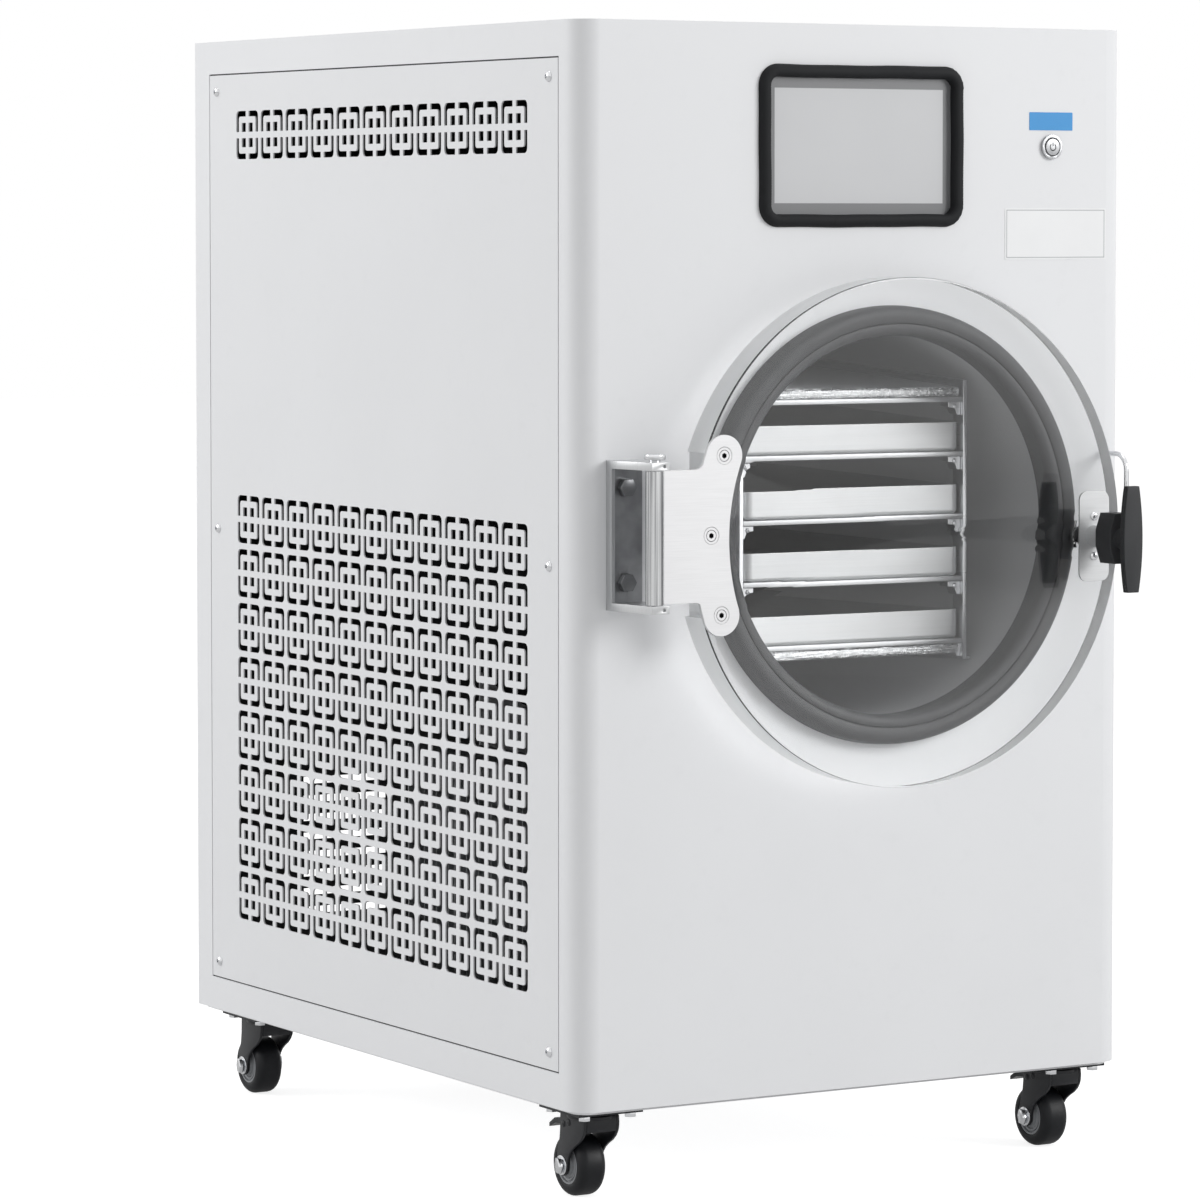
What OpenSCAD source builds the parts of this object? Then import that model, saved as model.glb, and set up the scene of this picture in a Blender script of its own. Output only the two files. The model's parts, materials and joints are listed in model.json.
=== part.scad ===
// Freeze dryer on casters: a sheet-steel cabinet round a cold steel chamber with a heated rack of trays,
// a clear swinging door, a touch display and a refrigeration set.
// Frame: origin on the floor under the middle of the whole machine, +X to the right, +Y to the back, +Z up.
// "Out" is the distance in front of the cabinet's front sheet, and a negative one is behind that sheet.

/* [Cabinet] */
// Width of the cabinet
cab_w = 500; // [480:1:560]
// Depth of the cabinet, from the front sheet to the rear panel
cab_d = 642; // [620:1:720]
// Height of the cabinet above the casters
cab_h = 815; // [805:1:900]
// Thickness of the cabinet's sheet steel
sheet = 1.5; // [1.2:0.1:2]
// Outer radius of the two front corners
corner_r = 20; // [10:1:26]
// Thickness of the base pan
pan_t = 2.5; // [2:0.1:4]
// Width of the folds that the base pan, top cover and rear panel sit on
fold_w = 15; // [12:1:20]

/* [Side panels] */
// Border of the cabinet left round each side panel
side_border = 27; // [24:1:32]
// Gap between a panel and the sheet round it
panel_gap = 1.2; // [0.6:0.1:2]
// Width of the ledge behind a side panel's edge
ledge_w = 22; // [20:1:26]
// Distance of a panel screw from the panel's edges
screw_inset = 13.5; // [12:0.5:15]
// Diameter of a panel screw's shank
screw_d = 4; // [3:0.5:5]
// Diameter of a panel screw's head
screw_head_d = 8.4; // [7:0.1:10]
// Height of a panel screw's head
screw_head_h = 2.6; // [2:0.1:3]

/* [Vents] */
// Side of one vent motif
motif_w = 40.4; // [38:0.2:42]
// Distance between neighbouring motifs
motif_pitch = 45; // [44:0.5:46]
// Width of the webs that cross a motif
web_w = 5.2; // [4:0.1:7]
// Motifs in a row
vent_cols = 11; // [4:1:11]
// Rows in the lower field
vent_rows = 8; // [2:1:8]
// Centre of the first column behind the front sheet
vent_first_y = 94.2; // [85:0.2:98]
// Centre of the lowest row above the cabinet's bottom edge
vent_first_z = 102.2; // [90:0.2:110]
// Centre of the single top row below the cabinet's top edge
vent_top_drop = 78.5; // [70:0.5:90]

/* [Chamber] */
// Chamber axis to the right of the cabinet's middle
chamber_x = 20; // [10:1:25]
// Chamber axis above the cabinet's bottom edge
chamber_z = 433; // [425:1:440]
// Inner radius of the chamber
chamber_r = 152; // [150:0.5:156]
// Wall of the chamber
chamber_wall = 2; // [1.5:0.1:3]
// Depth of the chamber behind the front sheet
chamber_depth = 470; // [465:1:490]
// How far the chamber's mouth stands in front of the front sheet
mouth_out = 8; // [6:0.5:10]
// Outer radius of the door gasket
gasket_r = 166.5; // [162:0.5:170]
// Inner radius of the door gasket
gasket_inner_r = 144; // [140:0.5:148]
// Outer radius of the copper evaporator tube
coil_tube_r = 5; // [4:0.5:6]
// Turns of the evaporator coil
coil_turns = 9; // [5:1:12]
// Thickness of the foam jacket outside the coil
foam_t = 24; // [15:1:28]
// Start of the foam jacket behind the front sheet
foam_start = 26; // [22:1:40]

/* [Rack and trays] */
// Width of a tray
tray_w = 197; // [190:1:198]
// How much shorter a tray is than the rack
tray_end_gap = 12; // [4:1:30]
// Height of a tray
tray_h = 22; // [18:1:25]
// Wall of a tray
tray_t = 1; // [0.8:0.1:1.5]
// Corner radius of a tray
tray_corner = 8; // [4:1:14]
// Number of trays
tray_count = 4; // [4:1:4]
// Distance from one shelf to the next
shelf_pitch = 47.3; // [44:0.1:48]
// Thickness of a shelf plate
shelf_t = 2; // [1.5:0.1:3]
// Height of a shelf's folded front edge
shelf_lip = 4; // [3:0.5:6]
// Front of the rack behind the front sheet
rack_start = 50; // [44:1:56]
// Gap between the rack and the chamber's back
rack_back_gap = 20; // [15:1:24]
// Thickness of the rack's upright bars
bar_t = 3.5; // [3:0.5:4]
// Width of the rack's upright bars from front to back
bar_w = 14; // [10:1:18]
// Side play of a tray between the bars
tray_play = 1.5; // [1:0.5:2]
// Thickness of the foil-wrapped insulation above and below the shelves
foil_t = 12.5; // [8:0.5:14]
// Thickness of a heater mat
heater_t = 1.5; // [1:0.1:2]

/* [Door] */
// Door centre above the cabinet's bottom edge
door_z = 428.5; // [424:0.5:434]
// Radius of the door disc
door_r = 194.5; // [190:0.5:198]
// Thickness of the door disc
door_t = 27; // [24:0.5:30]
// Space between the front sheet and the door
door_gap = 14; // [12.5:0.5:17]
// Clearance between the gasket and the shut door
seal_gap = 0.3; // [0.2:0.1:0.6]
// Distance of the hinge-side flat from the cabinet's middle
flat_x = 161; // [158:1:163]
// Height of the hinge-side flat
flat_h = 123; // [112:1:124]

/* [Hinge] */
// Hinge centre above the cabinet's bottom edge
hinge_z = 432; // [428:0.5:436]
// Hinge pin to the left of the cabinet's middle
pin_x = 211.5; // [208:0.5:214]
// Hinge pin in front of the front sheet
pin_out = 48; // [46:0.5:50]
// Radius of the hinge pin
pin_r = 4; // [3:0.5:5]
// Radius of the leaf's barrel
barrel_r = 6.9; // [6.5:0.1:8]
// Height of the leaf's barrel
barrel_h = 99; // [90:1:104]
// Thickness of the leaf plate
leaf_t = 3; // [3:0.5:5]
// Radius of the door screws' circle round the door's centre
leaf_screw_r = 180; // [176:0.5:182]
// Half width of the leaf's curved band
leaf_half = 15.5; // [12:0.5:17]
// Angle between neighbouring door screws
leaf_angle = 19.3; // [16:0.1:21]
// Width of the hinge bracket on the cabinet
bracket_w = 29; // [26:1:32]
// Thickness of the bracket's two arms
arm_t = 6; // [5:0.5:8]
// Running clearance of hinge pin, latch shaft, hook, king pins and axles
run_fit = 0.05; // [0.03:0.01:0.08]
// End play of parts that turn
end_play = 0.5; // [0.4:0.1:1]

/* [Latch] */
// Latch axis to the right of the cabinet's middle
latch_x = 190; // [190:0.5:192]
// Latch axis above the cabinet's bottom edge
latch_z = 421; // [418:0.5:424]
// Width of the latch plate
latch_plate_w = 28; // [24:1:30]
// Height of the latch plate
latch_plate_h = 70; // [60:1:80]
// Radius of the latch shaft
shaft_r = 4.25; // [4:0.05:5]
// Radius of the shaft behind the door
shaft_tail_r = 3.4; // [3:0.1:3.6]
// Radius of the boss on the latch plate
boss_r = 8.5; // [7.5:0.1:10]
// Length of the boss in front of the door
boss_l = 19; // [14:0.5:22]
// Height of the handle's hub
hub_h = 39; // [34:1:44]
// Depth of the handle's hub from front to back
hub_d = 19.5; // [16:0.5:24]
// Length of the neck between hub and grip
neck_l = 8; // [6:0.5:12]
// Height of the T grip
grip_h = 82; // [70:1:90]
// Width of the T grip at its middle
grip_w = 17.5; // [15:0.5:20]
// Width of the T grip at its ends
grip_end_w = 10.6; // [8:0.2:12]
// Thickness of the T grip
grip_t = 6; // [5:0.5:8]
// Catch hook's pivot to the right of the cabinet's middle
hook_x = 218.6; // [218.4:0.1:222]
// Catch hook's pivot above the cabinet's bottom edge
hook_z = 484; // [480:1:488]
// Radius of the catch hook's rod
hook_r = 2; // [1.5:0.1:2.4]
// Bend radius of the catch hook
hook_bend = 13; // [10:0.5:15]
// Length of the hook's straight leg
hook_leg = 33; // [28:1:34]

/* [Display and switch] */
// Display centre to the right of the cabinet's middle
display_x = 1; // [-10:1:10]
// Display centre below the cabinet's top edge
display_drop = 92.6; // [88:0.2:100]
// Width of the display opening
display_w = 165; // [155:1:175]
// Height of the display opening
display_h = 103; // [95:1:110]
// Width of the black edging round the display
trim_w = 10.5; // [8:0.5:13]
// How far the edging stands out
trim_out = 6; // [4:0.5:8]
// Switch centre to the right of the cabinet's middle
switch_x = 177.2; // [165:0.2:190]
// Switch centre below the cabinet's top edge
switch_drop = 92; // [80:1:110]
// Radius of the switch's bezel
bezel_r = 9.5; // [9:0.1:12]
// Radius of the switch's button
button_r = 6.6; // [5:0.1:7]
// Travel of the switch's button
button_travel = 1; // [0.5:0.1:1.5]

/* [Casters] */
// Height from the floor to the cabinet's bottom edge
caster_h = 73; // [72:1:80]
// Radius of a wheel
wheel_r = 24; // [22:0.5:25]
// Width of a wheel
wheel_w = 23; // [20:0.5:25]
// Distance of the wheel's axle behind the swivel axis
trail = 17.5; // [14:0.5:20]
// Width of a caster plate from left to right
plate_w = 56; // [54:1:62]
// Length of a caster plate from front to back
plate_l = 60; // [58:1:66]
// Swivel axes in from the cabinet's sides
caster_side = 36.5; // [34:0.5:50]
// Front swivel axes behind the front sheet
caster_front = 42; // [38:1:50]
// Rear swivel axes in front of the rear panel
caster_rear = 59; // [50:1:70]
// Radius of a wheel's axle
axle_r = 4; // [3:0.5:5]

/* [Hidden] */
$fn = 64;

// The cabinet's levels and planes
base_z = caster_h;
top_z = base_z + cab_h;
latch_stack = boss_l + end_play + hub_d + neck_l + grip_t;
front_reach = door_gap + door_t + latch_stack;
rear_reach = 45;
front_y = (front_reach - rear_reach - cab_d) / 2;
rear_y = front_y + cab_d;
inner_w = cab_w - 2 * sheet;

// Chamber, coil and jacket
chamber_cz = base_z + chamber_z;
shell_r = chamber_r + chamber_wall;
coil_rings_a_turn = 36;
coil_sides = 8;
coil_clearance = 0.2;
coil_r = (shell_r + coil_clearance) / cos(180 / coil_rings_a_turn) + coil_tube_r;
jacket_inner_r = coil_r + coil_tube_r + coil_clearance;
jacket_r = jacket_inner_r + foam_t;
end_plate_t = 3;
coil_start = 60;
coil_end = 40;
pipe_r = 4;
riser_x = chamber_x + jacket_r + pipe_r + 2;
vacuum_r = 12.7;
vacuum_bore_r = 10.7;
vacuum_z = chamber_cz + 90;

// Rack: shelf tops counted from the uppermost shelf down
rack_w = tray_w + 2 * tray_play + 2 * bar_t;
rack_y = front_y + rack_start;
rack_l = chamber_depth - rack_start - rack_back_gap;
tray_l = rack_l - tray_end_gap;
shelf_top_1 = chamber_cz + 50.6;
function shelf_top(i) = shelf_top_1 - (i - 1) * shelf_pitch;
rack_top_plate = shelf_top(0) - 6;
rack_bottom = shelf_top(tray_count) - shelf_lip - foil_t;
rack_top = rack_top_plate + foil_t;
shelf_w = rack_w - 2 * bar_t;
foot_t = 2;

// Door, hinge and latch
door_back = door_gap;
door_front = door_gap + door_t;
door_cz = base_z + door_z;
hinge_cz = base_z + hinge_z;
latch_cz = base_z + latch_z;
hook_cz = base_z + hook_z;
leaf_start = 180 - asin((hinge_z - door_z) / leaf_screw_r);
door_screw_r = 3;
door_screw_head_r = 6.8;
door_screw_l = 20;
arm_gap = barrel_h / 2 + end_play;
bracket_left = -pin_x - bracket_w / 2 + 1;
latch_plate_t = 1.5;
latch_screw_z = 15.5;
latch_screw_head_r = 3.4;
hub_back = door_front + boss_l + end_play;
hub_front = hub_back + hub_d;
grip_back = hub_front + neck_l;
hook_out = door_front + latch_plate_t + hook_r + 0.5;
collar_r = 7.7;
collar_t = 3;
collar_sink = 0.5;
key_w = 5;
key_h = 18;
key_neck_start = 3;
key_slack = 1.5;

// Display, switch and labels
notice_side = 68;
notice_x = cab_w / 2 - notice_side;
display_cz = top_z - display_drop;
switch_cz = top_z - switch_drop;
trim_corner_r = 17;
opening_corner_r = 7;
lining = 1;
glass_t = 2;
module_d = 18;

// Refrigeration set
compressor_x = 70;
compressor_back = 245;
compressor_y = front_y + compressor_back;
compressor_r = 78;
compressor_h = 165;
mount_h = 14;
compressor_top = base_z + mount_h + compressor_h;
suction_z = base_z + mount_h + 80;
condenser_side = 64;
condenser_x = condenser_side - cab_w / 2;
condenser_w = 230;
condenser_h = 236;
condenser_d = 40;
condenser_back = 232;
condenser_rise = 128;
condenser_y = front_y + condenser_back;
condenser_z = base_z + condenser_rise;
fan_r = 96;
shroud_d = 26;

// Casters: 1 front left, 2 front right, 3 rear left, 4 rear right
caster_x = cab_w / 2 - caster_side;
axle_z = wheel_r;
plate_top = base_z - pan_t;
plate_t = 2.5;
race_r = 17;
race_h = 2.5;
king_r = 4;
fork_top = plate_top - plate_t - race_h - end_play;
fork_t = 3;
leg_t = 2.5;
leg_gap = 1.5;
leg_x = wheel_w / 2 + leg_gap;
bolt_inset_w = 8;
bolt_inset_l = 5.5;
pedal_pivot_y = 15;
pedal_pivot_z = fork_top - 9;
pedal_pin_r = 2;
function caster_pos(i) = [
    (i % 2 == 1 ? -1 : 1) * caster_x,
    i < 3 ? front_y + caster_front : rear_y - caster_rear,
    0
];

// ---------- helpers ----------

// Extrudes a shape drawn in X and Z from out distance s0 to s1
module outward(s0, s1) {
    translate([0, front_y - s0, 0]) rotate([90, 0, 0]) linear_extrude(s1 - s0) children();
}

// Turns a profile of radius and out distance round an axis that points forward
module turned(x, z) {
    translate([x, front_y, z]) rotate([90, 0, 0]) rotate_extrude() children();
}

// Extrudes a shape drawn in Y and Z from x0 to x1
module sideways(x0, x1) {
    translate([x0, 0, 0]) rotate([90, 0, 90]) linear_extrude(x1 - x0) children();
}

// Rectangle with round corners, about its centre
module rounded(w, h, r) {
    square([w - 2 * r, h], center = true);
    square([w, h - 2 * r], center = true);
    for (sx = [-1, 1], sy = [-1, 1])
        translate([sx * (w / 2 - r), sy * (h / 2 - r)]) circle(r);
}

module box(lo, hi) {
    translate(lo) cube(hi - lo);
}

// Cabinet seen from above, drawn in by an inset
module footprint(inset = 0) {
    w = cab_w - 2 * inset;
    d = cab_d - 2 * inset;
    r = max(corner_r - inset, 1);
    translate([-w / 2, front_y + inset + r]) square([w, d - r]);
    translate([-w / 2 + r, front_y + inset]) square([w - 2 * r, d / 2]);
    for (sx = [-1, 1])
        translate([sx * (w / 2 - r), front_y + inset + r]) circle(r);
}

// Opening in a side of the cabinet, drawn in Y and Z and grown by a margin
module side_opening(margin = 0) {
    reach = side_border - margin;
    translate([front_y + reach, base_z + reach])
        square([cab_d - 2 * reach, cab_h - 2 * reach]);
}

module at_side_screws() {
    inset = side_border + panel_gap + screw_inset;
    for (y = [front_y + inset, rear_y - inset], z = [base_z + inset, base_z + cab_h / 2, top_z - inset])
        translate([y, z]) children();
}

// Pan-head screw pointing along +Z, with its seat at the origin and its socket below
module pan_screw(shank_l, shank_r = screw_d / 2, head_r = screw_head_d / 2, head_h = screw_head_h) {
    difference() {
        union() {
            cylinder(h = shank_l, r = shank_r);
            translate([0, 0, -head_h / 2]) cylinder(h = head_h / 2, r = head_r);
            translate([0, 0, -head_h]) cylinder(h = head_h / 2, r1 = head_r * 0.72, r2 = head_r);
        }
        translate([0, 0, -head_h - 1]) cylinder(h = 1 + head_h * 0.6, r = head_r * 0.36, $fn = 6);
    }
}

// ---------- cabinet ----------

module cabinet_shell() {
    color("gainsboro") difference() {
        union() {
            shell_walls();
            for (sx = [-1, 1]) side_ledge(sx);
            rear_frame();
        }
        outward(-sheet - 1, 1) front_cutouts();
        sideways(-cab_w / 2 - 1, cab_w / 2 + 1) at_side_screws() circle(screw_d / 2);
        translate([0, rear_y + 1, 0]) rotate([90, 0, 0]) linear_extrude(2 * sheet + 2)
            at_rear_screws() circle(screw_d / 2);
        caster_bolt_holes();
    }
}

module caster_bolt_holes() {
    for (i = [1:4]) translate(caster_pos(i)) at_plate_bolts()
        translate([0, 0, base_z - pan_t - 1]) cylinder(h = pan_t + sheet + 2, r = caster_bolt_r);
}

module shell_walls() {
    difference() {
        translate([0, 0, base_z]) linear_extrude(cab_h) footprint();
        translate([0, 0, base_z + sheet]) linear_extrude(cab_h - 3 * sheet) footprint(sheet);
        translate([0, 0, base_z - 1]) linear_extrude(cab_h + 2) footprint(fold_w);
        translate([0, 0, top_z - sheet]) linear_extrude(sheet + 1) footprint(sheet);
        sideways(-cab_w / 2 - 1, cab_w / 2 + 1) side_opening();
        box([-inner_w / 2, rear_y - sheet - 1, base_z - 1], [inner_w / 2, rear_y + 1, top_z + 1]);
    }
}

// Frame behind a side panel, which the panel lies on and is screwed to
module side_ledge(side) {
    lap = 12;
    x_out = side * (cab_w / 2 - sheet);
    x_in = side * (cab_w / 2 - 2 * sheet);
    sideways(min(x_out, x_in), max(x_out, x_in)) difference() {
        side_opening(lap);
        side_opening(-ledge_w);
    }
}

// Fold round the open back, one sheet in front of the rear panel
module rear_frame() {
    rear_fold = 26;
    translate([0, rear_y - sheet, 0]) rotate([90, 0, 0]) linear_extrude(sheet) difference() {
        translate([-inner_w / 2, base_z]) square([inner_w, cab_h - sheet]);
        translate([-inner_w / 2 + rear_fold, base_z + rear_fold])
            square([inner_w - 2 * rear_fold, cab_h - sheet - 2 * rear_fold]);
    }
}

module front_cutouts() {
    translate([chamber_x, chamber_cz]) circle(shell_r);
    translate([display_x, display_cz])
        rounded(display_w + 2 * lining, display_h + 2 * lining, opening_corner_r + lining);
    translate([switch_x, switch_cz]) circle(switch_body_r);
    for (z = hinge_bolt_levels()) translate([hinge_bolt_x, z]) circle(hinge_bolt_r);
    translate([hook_x, hook_cz]) circle(hook_r + run_fit);
    translate([latch_x, latch_cz]) square([key_w + 2 * key_slack, key_h + 2 * key_slack], center = true);
}

module top_cover() {
    color("gainsboro") translate([0, 0, top_z - sheet])
        linear_extrude(sheet) difference() {
            footprint(sheet + panel_gap / 2);
            translate([-cab_w / 2, rear_y - 2 * sheet]) square([cab_w, 2 * sheet + 1]);
        }
}

module base_pan() {
    pan_inset = 6;
    color("silver") difference() {
        union() {
            translate([0, 0, base_z - pan_t]) linear_extrude(pan_t) footprint(pan_inset);
            for (y = [front_y + 96, front_y + 400]) chamber_saddle(y);
        }
        caster_bolt_holes();
        translate([-cab_w / 4, front_y + 430, base_z - pan_t - 1]) floor_vents();
    }
}

// Upright that carries the insulated chamber
module chamber_saddle(y) {
    saddle_t = 2;
    saddle_w = 260;
    saddle_top = chamber_cz - jacket_r * 0.72;
    difference() {
        box([chamber_x - saddle_w / 2, y, base_z], [chamber_x + saddle_w / 2, y + saddle_t, saddle_top]);
        translate([chamber_x, y - 1, chamber_cz]) rotate([-90, 0, 0]) cylinder(h = saddle_t + 2, r = jacket_r);
        translate([chamber_x, y - 1, base_z + 95]) rotate([-90, 0, 0]) cylinder(h = saddle_t + 2, r = 70);
        box([chamber_x - 70, y - 1, base_z + 20], [chamber_x + 70, y + saddle_t + 1, base_z + 95]);
    }
}

module floor_vents() {
    for (i = [0:7]) translate([i * 30, 0, 0]) cube([12, 110, pan_t + 2]);
}

module rear_panel() {
    w = inner_w - panel_gap;
    h = cab_h - panel_gap;
    color("gainsboro") translate([0, rear_y, 0]) rotate([90, 0, 0]) linear_extrude(sheet) difference() {
        translate([-w / 2, base_z + panel_gap / 2]) square([w, h]);
        translate([chamber_x, vacuum_z]) circle(vacuum_r);
        translate([drain_x, drain_z]) circle(drain_r);
        translate([inlet_x, inlet_z]) square([inlet_w, inlet_h], center = true);
        at_rear_screws() circle(screw_d / 2);
        rear_louvres();
    }
}

module at_rear_screws() {
    inset = sheet + screw_inset;
    for (x = [-1, 1] * (cab_w / 2 - inset), z = [base_z + inset, base_z + cab_h / 2, top_z - inset - sheet])
        translate([x, z]) children();
}

module rear_louvres() {
    for (row = [0:7], col = [0:2])
        translate([-150 + col * 110, base_z + 70 + row * 16]) square([80, 6]);
}

module side_panel(side) {
    x = side * cab_w / 2;
    color("gainsboro") sideways(min(x, x - side * sheet), max(x, x - side * sheet)) difference() {
        side_opening(-panel_gap);
        at_side_screws() circle(screw_d / 2 + 0.2);
        vent_field();
    }
}

module vent_field() {
    for (col = [0:vent_cols - 1]) translate([front_y + vent_first_y + col * motif_pitch, 0]) {
        translate([0, top_z - vent_top_drop]) vent_motif();
        for (row = [0:vent_rows - 1])
            translate([0, base_z + vent_first_z + row * motif_pitch]) vent_motif();
    }
}

// One motif: four square windows between crossing webs
module vent_motif() {
    pane = (motif_w - web_w) / 2;
    for (sx = [-1, 1], sy = [-1, 1])
        translate([sx * (web_w + pane) / 2, sy * (web_w + pane) / 2]) square(pane, center = true);
}

module left_panel() side_panel(-1);
module right_panel() side_panel(1);

module panel_screws() {
    color("silver") {
        for (side = [-1, 1]) translate([side * cab_w / 2, 0, 0]) rotate([90, 0, 90]) at_side_screws()
            rotate([0, side > 0 ? 180 : 0, 0]) pan_screw(2 * sheet + 5);
        translate([0, rear_y, 0]) rotate([90, 0, 0]) at_rear_screws() pan_screw(2 * sheet + 5);
    }
}

// ---------- chamber ----------

module chamber() {
    color("dimgray") difference() {
        turned(chamber_x, chamber_cz) {
            translate([chamber_r, -chamber_depth]) square([chamber_wall, chamber_depth + mouth_out]);
            translate([0, -chamber_depth - end_plate_t]) square([shell_r, end_plate_t]);
        }
        outward(-chamber_depth - end_plate_t - 1, -chamber_depth + 1)
            translate([chamber_x, vacuum_z]) circle(vacuum_r);
        translate([chamber_x, front_y + chamber_depth - 30, chamber_cz - shell_r - 1]) cylinder(h = 20, r = drain_r);
    }
}

// Soft ring that slips over the chamber's mouth and seals on the door
module chamber_gasket() {
    bead_r = 4;
    front = door_back - seal_gap;
    inner_leg = 10;
    color("#3a3b3d") turned(chamber_x, chamber_cz) difference() {
        union() {
            translate([gasket_inner_r, -inner_leg]) square([chamber_r - gasket_inner_r, inner_leg + front - bead_r]);
            translate([gasket_inner_r, 0]) square([gasket_r - gasket_inner_r, front - bead_r]);
            translate([gasket_inner_r + bead_r, 0]) square([gasket_r - gasket_inner_r - 2 * bead_r, front]);
            for (r = [gasket_inner_r + bead_r, gasket_r - bead_r]) translate([r, front - bead_r]) circle(bead_r);
        }
        translate([chamber_r, -inner_leg - 1]) square([chamber_wall, inner_leg + 1 + mouth_out]);
    }
}

module chamber_jacket() {
    color("#d8cfa8") difference() {
        turned(chamber_x, chamber_cz) {
            translate([jacket_inner_r, -chamber_depth - end_plate_t])
                square([foam_t, chamber_depth + end_plate_t - foam_start]);
            translate([shell_r, -foam_start - 12]) square([jacket_inner_r - shell_r, 12]);
            translate([0, -chamber_depth - end_plate_t - foam_t]) square([jacket_r, foam_t]);
        }
        outward(-chamber_depth - end_plate_t - foam_t - 1, -chamber_depth)
            translate([chamber_x, vacuum_z]) circle(vacuum_r);
        translate([chamber_x, front_y + chamber_depth - 30, chamber_cz - jacket_r - 1])
            cylinder(h = jacket_r - chamber_r, r = drain_r);
        for (y = [coil_start, chamber_depth - coil_end])
            translate([chamber_x + coil_r, front_y + y, chamber_cz]) rotate([0, 90, 0])
                cylinder(h = jacket_r, r = pipe_r);
    }
}

function ring_point(centre, radial, axial, i) =
    centre + coil_tube_r * (cos(i * 360 / coil_sides) * radial + sin(i * 360 / coil_sides) * axial);

// Copper tube wound round the chamber as a helix
module evaporator_coil() {
    rings = coil_turns * coil_rings_a_turn;
    run = chamber_depth - coil_start - coil_end;
    points = [for (k = [0:rings]) let (
            a = k * 360 / coil_rings_a_turn,
            radial = [cos(a), 0, sin(a)],
            centre = [chamber_x, front_y + coil_start + run * k / rings, chamber_cz] + coil_r * radial
        ) for (i = [0:coil_sides - 1]) ring_point(centre, radial, [0, 1, 0], i)];
    sides = [for (k = [0:rings - 1], i = [0:coil_sides - 1]) let (
            a = k * coil_sides + i,
            b = k * coil_sides + (i + 1) % coil_sides
        ) each [[a, b, a + coil_sides], [b, b + coil_sides, a + coil_sides]]];
    first = [for (i = [coil_sides - 1:-1:0]) i];
    last = [for (i = [0:coil_sides - 1]) rings * coil_sides + i];
    color("#b87333") polyhedron(points, concat(sides, [first, last]));
}

// ---------- rack and trays ----------

module rack_frame() {
    foot_drop = chamber_cz - rack_bottom;
    foot_reach = sqrt(pow(chamber_r, 2) - pow(foot_drop, 2));
    color("silver") for (side = [-1, 1]) {
        x_in = chamber_x + side * (rack_w / 2 - bar_t);
        x_out = chamber_x + side * rack_w / 2;
        for (y = [rack_y, rack_y + rack_l - bar_w]) {
            box([min(x_in, x_out), y, rack_bottom], [max(x_in, x_out), y + bar_w, rack_top]);
            x_foot = chamber_x + side * foot_reach;
            box([min(x_in, x_foot), y, rack_bottom], [max(x_in, x_foot), y + bar_w, rack_bottom + foot_t]);
        }
        for (z = [rack_bottom, rack_top - bar_t])
            box([min(x_in, x_out), rack_y, z], [max(x_in, x_out), rack_y + rack_l, z + bar_t]);
    }
}

module shelf_plates() {
    color("lightgray") {
        for (i = [1:tray_count]) shelf_plate(shelf_top(i));
        shelf_plate(rack_top_plate);
    }
}

// Sheet shelf with its front and rear edges folded down
module shelf_plate(top) {
    x0 = chamber_x - shelf_w / 2;
    x1 = chamber_x + shelf_w / 2;
    box([x0, rack_y, top - shelf_t], [x1, rack_y + rack_l, top]);
    for (y = [rack_y, rack_y + rack_l - shelf_t])
        box([x0, y, top - shelf_lip], [x1, y + shelf_t, top]);
}

module rack_insulation() {
    x0 = chamber_x - shelf_w / 2 + 2;
    x1 = chamber_x + shelf_w / 2 - 2;
    color("whitesmoke") {
        box([x0, rack_y + 1, rack_top_plate], [x1, rack_y + rack_l - 1, rack_top]);
        box([x0, rack_y + 1, rack_bottom], [x1, rack_y + rack_l - 1, rack_bottom + foil_t]);
    }
}

module shelf_heaters() {
    margin = 14;
    color("#c8682c") for (i = [0:tray_count - 1]) {
        top = (i == 0 ? rack_top_plate : shelf_top(i)) - shelf_t;
        box([chamber_x - shelf_w / 2 + margin, rack_y + margin, top - heater_t],
            [chamber_x + shelf_w / 2 - margin, rack_y + rack_l - margin, top]);
    }
}

module tray(i) {
    color("silver") translate([chamber_x, rack_y + 1 + tray_l / 2, shelf_top(i)]) difference() {
        linear_extrude(tray_h) rounded(tray_w, tray_l, tray_corner);
        translate([0, 0, tray_t]) linear_extrude(tray_h)
            rounded(tray_w - 2 * tray_t, tray_l - 2 * tray_t, tray_corner - tray_t);
    }
}

module tray_1() tray(1);
module tray_2() tray(2);
module tray_3() tray(3);
module tray_4() tray(4);

// ---------- hinge ----------

hinge_bolt_x = -pin_x + 1;
hinge_bolt_r = 4;
hinge_bolt_pitch = 71;
bracket_back_t = 4;
bracket_rim = 8;
bracket_rim_t = 3;
function hinge_bolt_levels() = [hinge_cz - hinge_bolt_pitch / 2, hinge_cz + hinge_bolt_pitch / 2];

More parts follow.
